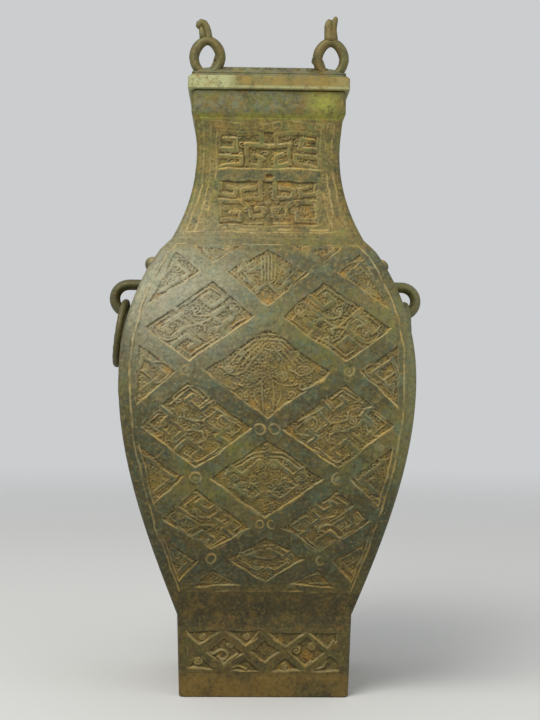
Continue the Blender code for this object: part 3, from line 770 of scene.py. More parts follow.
def panel(name, field, finish, laid):
    """Closed slab whose front carries the heights of a field, set into the sunk bed below it."""
    bm = bmesh.new()
    bmesh.ops.create_grid(bm, x_segments=field.columns, y_segments=field.rows, size=1.0)
    mesh = bpy.data.meshes.new(name)
    bm.to_mesh(mesh)
    flat = np.empty(len(mesh.vertices) * 3)
    mesh.vertices.foreach_get("co", flat)
    flat = flat.reshape(-1, 3)
    i = np.rint((flat[:, 1] + 1) / 2 * field.rows).astype(int)
    j = np.rint((flat[:, 0] + 1) / 2 * field.columns).astype(int)
    mesh.vertices.foreach_set("co", laid(field.height[i, j], i, j).ravel())
    for key, values in field.marks().items():
        layer = mesh.attributes.new(key, "FLOAT", "POINT")
        layer.data.foreach_set("value", values[i, j])
    bm.clear()
    bm.from_mesh(mesh)
    bpy.data.meshes.remove(mesh)
    bm.verts.ensure_lookup_table()
    backs = []
    for column in (0, field.columns):
        bm.verts.ensure_lookup_table()
        border = set(np.nonzero(j == column)[0].tolist())
        edges = {e for n in border for e in bm.verts[n].link_edges
                 if e.other_vert(bm.verts[n]).index in border}
        made = bmesh.ops.extrude_edge_only(bm, edges=list(edges))["geom"]
        fresh = {v for v in made if isinstance(v, bmesh.types.BMVert)}
        for vert in fresh:
            front = next(e.other_vert(vert) for e in vert.link_edges if e.other_vert(vert) not in fresh)
            n = front.index
            vert.co = Vector(laid(np.array([-PANEL_BACK]), i[n:n + 1], j[n:n + 1])[0])
        backs += [e for e in made
                  if isinstance(e, bmesh.types.BMEdge) and all(v in fresh for v in e.verts)]
    bmesh.ops.bridge_loops(bm, edges=backs)
    open_edges = [e for e in bm.edges if e.is_boundary]
    bmesh.ops.holes_fill(bm, edges=open_edges, sides=0)
    bmesh.ops.recalc_face_normals(bm, faces=bm.faces)
    piece(name, bm, finish)


def inset(corners, distance):
    """Corners of a convex polygon moved inwards."""
    points = [Vector(c) for c in corners]
    centre = sum(points, Vector((0.0, 0.0))) / len(points)
    moved = []
    for k, here in enumerate(points):
        into = (here - points[k - 1]).normalized()
        out = (points[(k + 1) % len(points)] - here).normalized()
        first, second = Vector((-into.y, into.x)), Vector((-out.y, out.x))
        if first.dot(centre - here) < 0:
            first = -first
        if second.dot(centre - here) < 0:
            second = -second
        middle = (first + second).normalized()
        moved.append(tuple(here + middle * distance / max(0.3, middle.dot(first))))
    return moved


def mirror(points):
    """The same points on the other half of the face."""
    return [(-u, z) for u, z in points]


def upright(reach, low, high):
    """Corners of an upright box about the middle."""
    return [(-reach, low), (reach, low), (reach, high), (-reach, high)]


def cell_place(corners, a, b):
    """Place in a four-cornered cell, counted from its middle along the two directions of the bands."""
    top, left, bottom, right = [Vector(c) for c in corners]
    centre = (top + left + bottom + right) / 4
    along, across = top - left + right - bottom, right - top + bottom - left
    return tuple(centre + along * (a / 4) + across * (b / 4))


def hooks(drawing, corners):
    """Flat ribbons that reach in from the bands and turn back, with a scroll between them."""
    for sign in (1, -1):
        for points, half, top in (
                ([(0.93, -0.22), (0.48, -0.22), (0.48, -0.66), (0.72, -0.66)], HOOK_HALF, -0.04),
                ([(-0.15, -0.93), (-0.15, -0.62), (-0.55, -0.62)], HOOK_HALF, -0.04),
                ([(0.78, 0.05), (0.30, 0.05), (0.30, 0.55), (0.72, 0.55), (0.72, 0.30)],
                 HOOK_HALF * 0.8, -0.15),
                ([(0.86, -0.45), (0.86, -0.86), (0.42, -0.86), (0.10, -0.86)], THREAD, -0.1),
                ([(-0.38, -0.86), (-0.78, -0.86), (-0.80, -0.40)], THREAD, -0.1),
                ([(0.30, 0.05), (0.12, -0.10), (0.02, -0.30), (0.15, -0.45)], BOLD, -0.15)):
            drawing.line([cell_place(corners, a * sign, b * sign) for a, b in points], half, top)


def small_curls(drawing, corners, seed):
    """Small spirals scattered over a cell, as between the larger hooks of the photo."""
    rng = np.random.default_rng(seed)
    us, zs = [c[0] for c in corners], [c[1] for c in corners]
    centre = Vector((sum(us) / len(us), sum(zs) / len(zs)))
    shrunk = [centre + (Vector(c) - centre) * 0.88 for c in corners]
    row = 0
    z = min(zs)
    while z < max(zs):
        u = min(us) + (row % 2) * 3.6
        while u < max(us):
            place = Vector((u + rng.uniform(-1.4, 1.4), z + rng.uniform(-1.2, 1.2)))
            start, turns, size = rng.uniform(0, 6.28), rng.uniform(0.8, 1.4), rng.uniform(1.9, 3.0)
            hand = 1 if rng.uniform() < 0.5 else -1
            u += 7.2
            turning = [(b - a).cross(place - a) for a, b in zip(shrunk, shrunk[1:] + shrunk[:1])]
            if min(turning) < 0 < max(turning):
                continue
            points = []
            for k in range(15):
                t = k / 14
                angle = start + hand * 2 * math.pi * turns * t
                out = size * (0.16 + 0.84 * t)
                points.append((place.x + out * math.cos(angle),
                               place.y + out * 0.85 * math.sin(angle)))
            drawing.line(points, 0.36, -0.42, both=False)
        z += 6.0
        row += 1


class Drawing:
    """Lines in (across, height) of one face, each with its half thickness and the level of its top."""

    def __init__(self):
        self.lines = []

    def line(self, points, half=THREAD, top=-0.25, closed=False, both=True):
        """Line through (across, height) points, on both halves of the face or one."""
        self.lines.append((points, half, top, closed))
        if both:
            self.lines.append((mirror(points), half, top, closed))

    def traced(self, pixels, half=THREAD, top=-0.25, closed=False, both=True, bend=True):
        """Line that follows pixels of the photo, with its bends rounded."""
        points = [seen(x, y) for x, y in pixels]
        if bend and len(points) > 2 and not closed:
            points = flowing(points)
        self.line(points, half, top, closed, both)

    def curl(self, x, y, size, turns, start, hand=1, half=THREAD, top=-0.25, both=True):
        """Spiral that winds outwards from the middle. Size in pixels of the photo."""
        centre = seen(x, y)
        reach = size * PIXEL
        steps = max(8, int(turns * 12))
        points = []
        for k in range(steps + 1):
            t = k / steps
            angle = math.radians(start) + hand * 2 * math.pi * turns * (t - 1)
            out = reach * (0.14 + 0.86 * t)
            points.append((centre[0] + out * math.cos(angle), centre[1] + 0.9 * out * math.sin(angle)))
        self.line(points, half, top, False, both)

    def ring(self, x, y, size, half):
        """Raised ring. Size in pixels of the photo."""
        centre = seen(x, y)
        reach = size * PIXEL
        points = [(centre[0] + reach * math.cos(2 * math.pi * k / 14),
                   centre[1] + reach * math.sin(2 * math.pi * k / 14)) for k in range(14)]
        self.line(points, half, 0.35, True)


def flowing(points):
    """The same line with its bends rounded a little."""
    rounded = [points[0]]
    for here, after in zip(points, points[1:]):
        a, b = Vector(here), Vector(after)
        for share in (0.25, 0.75):
            rounded.append(tuple(a.lerp(b, share)))
    rounded.append(points[-1])
    return rounded


# Belly lattice: crossings of the smooth bands as the photo shows them, left half and middle


def edge(z):
    """Half width of the frame of the belly at a height."""
    return half_width(z) - FRAME_MARGIN


def crossing(x, y, on_edge=False, middle=False):
    """Place of a crossing seen at a pixel, drawn onto the middle line or out to the frame."""
    u, z = seen(x, y)
    if on_edge:
        u = -edge(z) - BAND_HALF + 2.0
    return (0.0 if middle else u, z)


# Crossings by letter from the top: T and H end the middle line, S lie on the side, TL and BL are corners
NODES = {
    "T": (0.0, BELLY_HIGH + 3.0), "A": crossing(215, 271), "B": crossing(268, 316, middle=True),
    "C": crossing(190, 371), "D": crossing(268, 429, middle=True), "E": crossing(196.5, 478),
    "F": crossing(268, 528, middle=True), "G": crossing(213, 559), "H": (0.0, BELLY_LOW + 1.5),
    "S1": crossing(136, 326, on_edge=True), "S2": crossing(131, 424, on_edge=True),
    "S3": crossing(150, 520, on_edge=True),
    "TL": (-edge(BELLY_HIGH) - 3.5, BELLY_HIGH + 3.5), "BL": (-edge(BELLY_LOW) - 3.0, BELLY_LOW - 3.5),
}
HOOK_CELLS = ("A S1 C B", "C S2 E D", "E S3 G F")
MIDDLE_CELLS = (("T", "A", "B"), ("B", "C", "D"), ("D", "E", "F"), ("F", "G", "H"))
SIDE_CELLS = ("A B C S1", "C D E S2", "E F G S3", "T A TL", "TL A S1", "S1 C S2", "S2 E S3", "S3 G BL",
              "G H BL")


def belly_cells():
    """Corners of all sunk cells between the bands. The cell of the mask has a flattened top."""
    cells = []
    for top, side, bottom in MIDDLE_CELLS:
        left = NODES[side]
        corners = [NODES[top], left, NODES[bottom], (-left[0], left[1])]
        if top == "B":
            peak, flank = Vector(corners[0]), Vector(left)
            cut = peak.lerp(flank, 0.20)
            corners = [(0.0, peak.y - 3.5), (cut.x, cut.y - 1.0)] + corners[1:4] + [(-cut.x, cut.y - 1.0)]
        cells.append(corners)
    for names in SIDE_CELLS:
        corners = [NODES[n] for n in names.split()]
        cells += [corners, mirror(corners)]
    return [inset(corners, BAND_HALF) for corners in cells]


def cell_lines(d):
    """Flat hooks and frames in the cells, placed by the corners of each cell."""
    for names in HOOK_CELLS:
        hooks(d, inset([NODES[n] for n in names.split()], BAND_HALF))
    for names in ("T A B", "D E F", "F G H"):
        top, side, bottom = [NODES[n] for n in names.split()]
        corners = inset([top, side, bottom, (-side[0], side[1])], BAND_HALF)
        for points in ([(-0.35, -0.92), (-0.35, -0.55), (0.35, -0.55)],
                       [(-0.75, -0.35), (-0.75, 0.30), (-0.40, 0.30)],
                       [(-0.62, -0.78), (0.10, -0.78)]):
            d.line([cell_place(corners, a, b) for a, b in points], HOOK_HALF * 0.8, -0.10)
    for names, reach in (("S1 C S2", 0.45), ("S2 E S3", 0.45), ("T A TL", 0.4), ("TL A S1", 0.45),
                         ("S3 G BL", 0.45)):
        corners = [Vector(c) for c in inset([NODES[n] for n in names.split()], BAND_HALF)]
        middle = sum(corners, Vector((0.0, 0.0))) / 3
        shrunk = [tuple(c.lerp(middle, reach)) for c in corners]
        d.line([tuple((corners[2] + corners[0]) / 2)] + shrunk, HOOK_HALF * 0.8, -0.10)


def belly_drawing():
    """Lines of the belly. Curls are (x, y, size, turns, start, hand, half thickness, top)."""
    d = Drawing()
    heights = [BELLY_LOW + (BELLY_HIGH - BELLY_LOW) * k / 26 for k in range(27)]
    side = [(-edge(z), z) for z in heights]
    d.line(side + list(reversed(mirror(side))), 0.6, 0.45, closed=True, both=False)
    # upper left cell with the eye
    d.traced([(158, 331), (164, 324), (172, 321), (180, 325), (184, 331), (178, 338), (169, 341),
              (162, 337)], closed=True)
    d.curl(171, 331, 5.5, 1.7, 200)
    d.traced([(177, 309), (189, 318), (201, 326), (213, 318), (224, 309)], BOLD)
    d.traced([(177, 309), (191, 298), (205, 291)], THREAD)
    d.curl(237, 309, 7, 1.8, 150, -1)
    d.traced([(180, 311), (195, 331), (206, 341)])
    d.curl(213, 340, 6, 1.5, 40)
    d.curl(198, 309, 6, 1.6, 90)
    d.traced([(224, 309), (232, 300), (244, 306)])
    # upper corner cell
    d.traced([(175, 259), (190, 260), (202, 271)], BOLD)
    d.curl(178, 268, 5.5, 1.6, 60)
    d.curl(166, 283, 5.5, 1.6, 240, -1)
    d.curl(186, 277, 4.5, 1.5, 180)
    d.traced([(158, 294), (170, 290), (182, 284)])
    # top half cells
    d.curl(208, 247.5, 4, 1.5, 270)
    d.curl(228, 247.5, 4, 1.5, 270, -1)
    d.traced([(203, 251), (218, 258), (233, 251)])
    # top middle cell with the comb
    for k in range(5):
        u = (k - 2) * 2.6
        d.line([(u, seen(268, 256)[1]), (u, seen(268, 280)[1])], FINE, both=False)
    d.traced([(240, 267), (247, 275), (255, 283)], BOLD)
    d.curl(247, 264, 4.5, 1.5, 130)
    d.curl(258, 291, 4.5, 1.6, 90, -1)
    d.traced([(232, 270), (243, 280), (252, 292)])
    cell_lines(d)
    # curls on the crossings
    d.curl(188, 370, 7, 1.5, 60, -1, BOLD, 0.1)
    d.ring(261.5, 429, 5, BOLD)
    d.ring(196.5, 478, 5.5, BOLD)
    d.curl(196.5, 478, 3, 1.2, 0, 1, THREAD, 0.0)
    d.ring(213, 559, 4.5, BOLD)
    d.ring(261.5, 524, 4, THREAD)
    # mask cell in the middle of the belly
    d.traced([(203, 369), (218, 380), (232, 390), (238, 389), (237, 384)], BOLD, 0.0)
    for k in range(4):
        d.traced([(232 + 5 * k, 362 + 2 * k), (243 + 5 * k, 350 + 1.5 * k), (256 + 3 * k, 341 + 2 * k)], FINE)
    d.curl(240, 352, 4.5, 1.6, 30)
    d.curl(259, 349, 5, 1.7, 200)
    d.curl(230, 369, 4.5, 1.6, 330)
    d.traced([(222, 367), (233, 376), (245, 372), (252, 364)])
    d.curl(255, 378, 6, 1.9, 90, -1, BOLD)
    d.traced([(240, 384), (250, 388), (262, 384), (267, 378)])
    for y in (336, 341):
        d.traced([(252, y + 1.5), (262, y), (268, y - 0.5)], 0.6)
    d.traced([(263, 384), (262, 398), (264, 412)], BOLD)
    d.traced([(256, 388), (254, 398), (260, 407)])
    d.traced([(247, 403), (256, 409), (264, 415)], BOLD)
    d.curl(246, 396, 4.5, 1.5, 300)
    # left cell
    d.traced([(180, 402), (175, 397), (184, 390), (193, 385), (203, 390), (212, 397), (205, 403),
              (197, 409), (188, 405)], BOLD)
    d.curl(225, 421, 7.5, 1.6, 250, 1, BOLD)
    d.traced([(205, 403), (222, 412), (238, 421)])
    d.traced([(200, 409), (214, 424), (226, 436), (240, 433)])
    d.traced([(186, 436), (197, 446), (210, 438), (207, 431)], BOLD)
    d.traced([(177, 443), (186, 436), (192, 430)])
    d.curl(197, 427, 4.5, 1.6, 100)
    d.curl(183, 421, 4.5, 1.6, 20, -1)
    d.traced([(150, 418), (158, 411), (167, 410), (176, 416)], BOLD)
    d.traced([(140, 423), (148, 430), (157, 437), (168, 430), (170, 422)], BOLD)
    d.curl(160, 424, 4.5, 1.5, 90)
    d.traced([(172, 452), (184, 459), (196, 464), (222, 449)])
    # cells on the side edge
    d.traced([(143, 371), (150, 378), (158, 384), (167, 377), (174, 369), (167, 362), (156, 362)],
             BOLD)
    d.curl(158, 371, 4, 1.6, 70)
    d.curl(160, 396, 5, 1.6, 320, 1, BOLD)
    d.curl(145, 386, 4.5, 1.6, 120, -1)
    d.curl(146, 353, 4, 1.5, 200)
    d.curl(155, 446, 5, 1.6, 60, 1, BOLD)
    d.traced([(144, 455), (151, 461), (158, 457), (166, 449)], BOLD)
    d.traced([(164, 478), (171, 484), (180, 476)], BOLD)
    d.curl(158, 470, 4.5, 1.5, 160)
    d.curl(158, 502, 5, 1.6, 30, -1, BOLD)
    d.traced([(146, 498), (154, 495), (162, 491)], BOLD)
    d.traced([(155, 507), (163, 513), (171, 519), (183, 512), (188, 505)], BOLD)
    # middle lower cell with the double line
    for shift, half in ((0, BOLD), (4.5, FINE)):
        d.traced([(228 + shift, 472 + shift * 0.4), (240, 461 + shift), (252, 454 + shift),
                  (266, 452 + shift)], half)
    d.curl(262, 466, 4.5, 1.6, 10, -1, BOLD)
    d.traced([(234, 489), (247, 480), (258, 486), (266, 497)])
    d.curl(247, 492, 5, 1.6, 220)
    d.traced([(236, 497), (249, 507), (262, 516)], FINE)
    d.curl(262, 507, 4, 1.5, 100)
    d.curl(236, 478, 4, 1.5, 10)
    # lower left cell
    d.traced([(184, 498), (190, 494), (197, 492), (205, 497), (203, 505)], BOLD)
    d.traced([(178, 505), (190, 513), (203, 521)], BOLD)
    d.traced([(180, 527), (198, 539), (217, 551), (228, 544)], BOLD)
    d.traced([(206, 534), (220, 526), (231, 519)], BOLD)
    d.traced([(227, 527), (232, 532), (240, 537), (248, 531), (252, 527), (244, 523)], BOLD)
    d.curl(192, 523, 5, 1.6, 250)
    d.curl(221, 508, 4.5, 1.6, 30)
    d.curl(210, 545, 4, 1.5, 90)
    d.curl(238, 513, 3.5, 1.5, 90)
    # bottom cells
    d.traced([(253, 555), (260, 557), (267, 557.5)], BOLD)
    d.traced([(259, 546), (267, 545)], 0.6)
    d.curl(247, 562, 4, 1.5, 200)
    d.curl(256, 570, 3.5, 1.5, 60)
    d.curl(163, 537, 4, 1.5, 90, 1, BOLD)
    d.curl(174, 545, 4.5, 1.6, 250, -1)
    d.curl(184, 558, 4.5, 1.6, 30)
    d.traced([(166, 552), (176, 560), (188, 566), (196, 560)], BOLD)
    d.curl(177, 572, 4, 1.5, 90)
    d.traced([(199, 580), (209, 575), (218, 573), (234, 582), (250, 591)], BOLD)
    d.traced([(188, 583), (222, 583)], BOLD)
    d.traced([(252, 589), (268, 588.5)], 0.6)
    return d


def square_line(d, pixels, half=1.6, top=-0.05):
    """Line with square bends through pixels of the photo."""
    d.line([seen(x, y) for x, y in pixels], half, top)


def neck_drawing():
    """Frames of the neck, the square meanders of its two registers and the small frets round them."""
    d = Drawing()
    for share, half, top in ((0.885, 0.5, 0.25), (0.795, 0.5, 0.1), (0.715, 0.45, 0.05)):
        side = [(-share * half_width(z), z) for z in (351.5 + 8.4 * k for k in range(11))]
        d.line(side, half, top)
    d.line([(-0.88 * half_width(434.0), 436.5), (0.88 * half_width(434.0), 436.5)], 0.5, 0.1, both=False)
    # upper register
    square_line(d, [(264.4, 142), (264.4, 132.5), (221, 132.5), (221, 149), (237.6, 149),
                    (237.6, 139.5), (227.4, 139.5)])
    square_line(d, [(211, 156), (242.7, 156), (242.7, 163.8), (230, 165), (221, 167.6)], 1.4)
    square_line(d, [(270, 144.6), (249, 144.6), (249, 163.8), (263.8, 166.3), (263.8, 156), (256.7, 154.8)])
    square_line(d, [(216, 168.6), (264, 168.6)], 0.7, 0.1)
    square_line(d, [(245.9, 139), (245.9, 164)], -1.0, 0.7)
    # lower register
    square_line(d, [(223, 183.5), (223, 193), (237.5, 195), (239.5, 188), (231, 186.7)], 1.4)
    square_line(d, [(263.8, 183), (263.8, 198), (246.5, 198), (245, 189), (258, 188)], 1.4)
    square_line(d, [(241.5, 200.8), (222.3, 200.8), (220.4, 219.3), (241.5, 219.3), (241.5, 211.6),
                    (232.5, 212.2)], 1.5)
    square_line(d, [(244.6, 200.8), (251.6, 207), (251.6, 215.4), (265, 215.4), (265.7, 208.4),
                    (259.3, 207.8)], 1.3)
    square_line(d, [(246.5, 222.4), (264.4, 222.4)], 0.8)
    for x0, x1 in ((210, 226), (240, 259)):
        square_line(d, [(x0, 229), (x1, 229)], 0.8, 0.2)
    # small frets of the border
    for k in range(4):
        x = 216 + 14 * k
        square_line(d, [(x, 127.5), (x, 121.5), (x + 8, 121.5), (x + 8, 127), (x + 4, 127)], 0.5, 0.0)
    for k in range(7):
        z = 358.0 + 11.0 * k
        u = -0.755 * half_width(z)
        d.line([(u - 2.2, z), (u + 2.0, z), (u + 2.0, z + 6.0), (u - 2.2, z + 6.0), (u - 2.2, z + 3.0),
                (u, z + 3.0)], 0.5, 0.0)
    d.line([(-0.88 * half_width(351.0), 351.0), (0.88 * half_width(351.0), 351.0)], 0.5, 0.1, both=False)
    return d


def neck_field(columns, rows):
    """Heights of the neck's panel: two sunk registers with meanders over small curls."""
    f = Field(NECK_LOW, NECK_HIGH, columns, rows)
    reach = 0.69 * WAIST[1]
    for low, high in ((400.8, 430.5), (356.5, 391.5)):
        f.sink(upright(reach, low, high), 0.2, 1.25)
    f.glow = 0.95
    fill = Drawing()
    for k, (low, high) in enumerate(((401.5, 430.0), (357.0, 391.0))):
        small_curls(fill, upright(reach, low, high), 200 + k)
    f.draw(fill)
    f.draw(neck_drawing())
    f.bright *= smooth(1.0 + 0.4 * f.noise(33, 8.0, 2.0))
    f.height += 0.05 * np.tanh(f.noise(31, 2.6, 0.25) * 1.4) + 0.06 * f.noise(32, 9.0, 2.0)
    hole = seen(272, 176)
    gap = np.hypot((f.u - hole[0]) / 3.2, (f.v - hole[1]) / 2.0)
    f.height -= 1.9 * smooth(1.3 - gap)
    f.patches(((225, 128, 12), (262, 124, 14), (300, 128, 10), (212, 170, 9), (252, 200, 9), (290, 220, 10),
               (240, 166, 9), (296, 166, 12), (238, 214, 7), (310, 212, 8), (287, 185, 9), (270, 176, 7),
               (247, 229, 6), (300, 228, 9), (311, 141, 6)))
    soften_border(f, 1.5, NECK_LOW, NECK_HIGH)
    return f


def foot_cells():
    """Sunk fields between the crossing bands of the foot, as the photo shows them."""
    fields = [[(190, 630), (224, 630), (202, 643.5)], [(229, 630), (264, 630), (247, 644)],
              [(270, 632), (308, 632), (288, 646.5)], [(311, 633), (340, 633), (340, 641), (330, 648)],
              [(252, 651), (267, 640), (282, 651), (268, 661)],
              [(208, 651), (226, 637), (244, 652), (226, 665)],
              [(291, 651), (309, 637), (327, 652), (308, 667)],
              [(191, 668), (201, 654), (216, 668)], [(233, 670), (247, 656), (262, 670)],
              [(272, 671), (287, 657), (303, 671)], [(314, 671), (331, 656), (341, 664), (341, 671)]]
    return [[seen(x, y) for x, y in field] for field in fields]


def foot_drawing():
    """Frame and crossing bands of the foot, with a few curls between them."""
    d = Drawing()
    reach = FOOT_HALF - 6.4
    d.line(upright(reach, 20.0, 51.0), 0.4, -0.05, closed=True, both=False)
    for pixels in ([(191, 632), (201.5, 643.5), (223.5, 631)], [(228, 631), (246.5, 644.5), (259, 638)],
                   [(253, 650.5), (268, 661), (281, 651.5)], [(275, 638), (288, 646.5), (308, 632)],
                   [(311, 633.5), (329.5, 648), (336.5, 641)], [(219, 656), (225.5, 663.5), (238, 653.5)],
                   [(291, 651.5), (308, 666), (313, 661)], [(234, 667), (240, 664), (248, 668)],
                   [(313.5, 670), (325, 666)], [(191, 667), (212, 668)]):
        d.traced(pixels, 0.62, 0.3, both=False, bend=False)
    d.traced([(210, 651), (214, 654), (220, 650), (226, 650), (230, 655), (226, 660), (221, 658)],
             0.75, 0.0, both=False)
    for curl in ((299, 650, 5.5, 1.4, 200, 1, 0.75, 0.0), (200, 661, 5.0, 1.4, 120, 1, 0.75, 0.0),
                 (315, 647, 4.5, 1.4, 20, -1, 0.65, -0.1), (231, 645, 4.0, 1.4, 90, 1, 0.65, -0.1),
                 (287, 666, 3.6, 1.3, 90, -1, 0.65, -0.1), (324, 662, 3.6, 1.3, 10, 1, 0.6, -0.1),
                 (205, 636, 3.4, 1.3, 60, 1, 0.6, -0.1), (247, 636, 3.4, 1.3, 60, 1, 0.6, -0.1)):
        d.curl(*curl, both=False)
    return d


def foot_field(columns, rows):
    """Heights of the foot's panel."""
    f = Field(PLINTH_LOW, PLINTH_HIGH, columns, rows)
    for corners in foot_cells():
        f.sink(corners, 0.15, 1.05)
    low = smooth(-f.height / 1.0)
    f.height += low * 0.14 * np.tanh(f.noise(41, 2.6, 0.25) * 1.5) + 0.06 * f.noise(42, 9.0, 2.0)
    f.draw(foot_drawing())
    f.patches(((283, 640, 6), (250, 637, 6), (205, 637, 7), (287, 667, 8), (310, 655, 8), (198, 661, 7),
               (222, 655, 6), (336, 644, 6)))
    soften_border(f, 1.2, PLINTH_LOW, PLINTH_HIGH)
    return f


def soften_border(f, run, low, high):
    """Bring the heights back to the smooth face at the border of the panel."""
    side = f.reach[:, None] - np.abs(f.u)
    ends = np.minimum(f.v - low, high - f.v)
    f.height *= smooth(np.minimum(side, ends) / run)


def add_mask(f):
    """Animal mask behind the loop of a side face: swelling cheeks, brows, horns, eyes and nose."""
    f.dome(0.0, 302.0, 42.0, 30.0, 2.6)
    m = Field(f.z[0], f.z[-1], f.columns, f.rows)
    m.height -= 9.0
    for pixels, half, top in (
            ([(4, 303), (12, 312), (24, 315), (33, 309), (36, 300), (31, 294)], 2.0, 4.4),
            ([(10, 318), (22, 327), (33, 331), (41, 325), (40, 317), (34, 317), (33, 322)], 1.9, 5.4),
            ([(3, 292), (10, 286), (20, 285), (27, 290), (24, 296)], 1.6, 3.6),
            ([(0, 296), (3, 283), (8, 277), (15, 278), (16, 283), (11, 284)], 1.6, 4.0),
            ([(34, 292), (42, 288), (45, 280), (39, 276), (35, 281)], 1.5, 2.6),
            ([(20, 277), (28, 270), (37, 268)], 1.3, 1.8),
            ([(2, 320), (6, 327), (3, 333)], 1.5, 3.4),
            ([(18, 309), (28, 307)], 0.7, 3.2),
            ([(9, 281), (18, 273), (20, 266), (12, 264), (9, 269)], 1.3, 2.2)):
        line = flowing(pixels)
        m.ribbon(line, half + 0.7, top - 0.5, fall=1.1)
        m.ribbon(mirror(line), half + 0.7, top - 0.5, fall=1.1)
    for side in (-1, 1):
        m.dome(side * 14.5, 301.0, 5.4, 4.6, 5.2)
        m.dome(side * 14.5, 301.0, 2.0, 1.8, 5.9)
        m.dome(side * 38.0, 327.0, 6.5, 6.0, 9.0)
    m.dome(0.0, 279.0, 5.0, 6.0, 4.0)
    f.height = np.maximum(f.height, m.height + 0.15 * f.noise(21, 6.0, 2.0))
    f.bright = np.where(m.height > f.height - 1.2, 0.35 * m.bright, f.bright)


def belly_field(columns, rows, mask=False, low_end=BELLY_LOW, high_end=BELLY_HIGH):
    """Heights of a belly panel: sunk cells with worn ground, the lines over them, earth in the corners."""
    f = Field(low_end, high_end, columns, rows)
    for corners in belly_cells():
        f.sink(corners, 0.30)
    low = smooth(-f.height / 0.8)
    worms = np.tanh(f.noise(11, 2.5, 0.25) * 1.5)
    worn = smooth(0.5 + 0.45 * f.noise(12, 26.0, 2.0))
    f.height += low * worms * (0.10 + 0.20 * worn)
    lines = Field(low_end, high_end, columns, rows)
    lines.height -= 5.0
    lines.draw(belly_drawing())
    fill = Drawing()
    for k, corners in enumerate(belly_cells()):
        small_curls(fill, corners, 100 + k)
    lines.draw(fill)
    f.bright = np.maximum(f.bright, lines.bright)
    wear = 0.14 * f.noise(13, 9.0, 2.0) - 0.35 * smooth(0.3 * f.noise(16, 20.0, 2.0))
    f.height = np.maximum(f.height, lines.height + wear)
    f.height += 0.05 * f.noise(14, 5.0, 2.0) + 0.12 * f.noise(17, 30.0, 2.0)
    for corners in belly_cells():
        centre = sum((Vector(c) for c in corners), Vector((0.0, 0.0))) / len(corners)
        lowest = min(corners, key=lambda c: c[1])
        for corner, pull, size in ((lowest, 0.25, 12.0), (min(corners), 0.2, 9.0), (max(corners), 0.2, 9.0)):
            f.patch(*Vector(corner).lerp(centre, pull), size)
    f.patches(((231, 268, 8), (237, 322, 9), (256, 404, 7), (225, 420, 8), (158, 430, 9), (196, 404, 6),
               (197, 452, 10), (150, 452, 7), (206, 372, 6), (306, 300, 8), (296, 385, 6), (290, 428, 6),
               (197, 498, 7), (210, 507, 8), (240, 531, 7), (295, 530, 7), (218, 546, 8), (320, 548, 8),
               (238, 563, 8), (170, 558, 9), (200, 575, 8), (262, 588, 14), (330, 583, 12),
               (150, 500, 6), (345, 395, 7), (170, 514, 7)))
    f.earth *= smooth(0.55 + 0.5 * f.noise(15, 7.0, 2.0))
    if mask:
        add_mask(f)
    soften_border(f, 1.2, BELLY_LOW, BELLY_HIGH)
    return f


def relief(finish):
    """Panels of all four sides. The front is laid finer, its belly in two."""
    for quarter, place in enumerate(("front", "right", "back", "left")):
        if quarter == 0:
            parts = [("belly_front_low", belly_field(330, 280, high_end=FINE_SPLIT)),
                     ("belly_front_high", belly_field(330, 290, low_end=FINE_SPLIT)),
                     ("neck_front", neck_field(190, 180)), ("plinth_front", foot_field(240, 68))]
        else:
            parts = [("belly_" + place, belly_field(190, 250, mask=quarter in (1, 3))),
                     ("neck_" + place, neck_field(104, 96)), ("plinth_" + place, foot_field(130, 36))]
        for name, field in parts:
            panel(name, field, finish, on_side(field, quarter))


# Lid


def square_shell(rows):
    """Closed square body from (half width, height) rows, with rounded corners."""
    bm = bmesh.new()
    columns = 6
    bmesh.ops.create_grid(bm, x_segments=columns, y_segments=len(rows) - 1, size=1.0)
    for vert in bm.verts:
        k = round((vert.co.x + 1) / 2 * columns)
        half, z = rows[round((vert.co.y + 1) / 2 * (len(rows) - 1))]
        round_by = min(CORNER, half)
        flat = half - round_by
        if 2 <= k <= 4:
            across, out = flat * (k - 3), half
        else:
            angle = math.pi / 4 * (2 - k if k < 2 else k - 4) / 2
            across = (flat + round_by * math.sin(angle)) * (-1 if k < 2 else 1)
            out = flat + round_by * math.cos(angle)
        vert.co = Vector((across, -out, z)) * MM
    four_sides(bm)
    bmesh.ops.remove_doubles(bm, verts=bm.verts, dist=0.01 * MM)
    bmesh.ops.recalc_face_normals(bm, faces=bm.faces)
    return bm


def crown_height(reach):
    """Height of the crown over the lid's edge band, by distance from the middle."""
    share = min(1.0, max(0.0, (LID_HALF - 1.2 - reach) / (LID_HALF - CROWN_FLAT)))
    swell = max(0.0, 1 - (reach / CROWN_FLAT) ** 2)
    return CROWN * (1 - (1 - share) ** 2.4) + 1.3 * swell


def lid(finish):
    """Lid with its flange, hollow under the crown."""
    rows = [(0.0, LID_TOP + 3.5), (36.0, LID_TOP + 3.0), (45.0, LID_TOP - 4.0), (49.5, LID_TOP - 4.5),
            (49.7, LID_BASE - FLANGE_DEPTH), (53.0, LID_BASE - FLANGE_DEPTH), (FLANGE_HALF, LID_BASE - 0.2),
            (FLANGE_HALF + 0.2, LID_BASE), (LID_HALF - 0.8, LID_BASE), (LID_HALF, LID_BASE + 0.8),
            (LID_HALF, LID_BASE + 5.0), (LID_HALF, LID_TOP - 1.0), (LID_HALF - 0.9, LID_TOP)]
    rows += [(reach, LID_TOP + crown_height(reach))
             for reach in (60.0, 58.0, 55.0, 52.0, 49.0, 46.0, 44.0, 41.0, 36.0, 30.0, 20.0, 10.0, 0.0)]
    bm = square_shell(rows)
    body = piece("lid_body", bm, finish)
    body.data.set_sharp_from_angle(angle=math.radians(40))
    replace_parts(body, "lid")


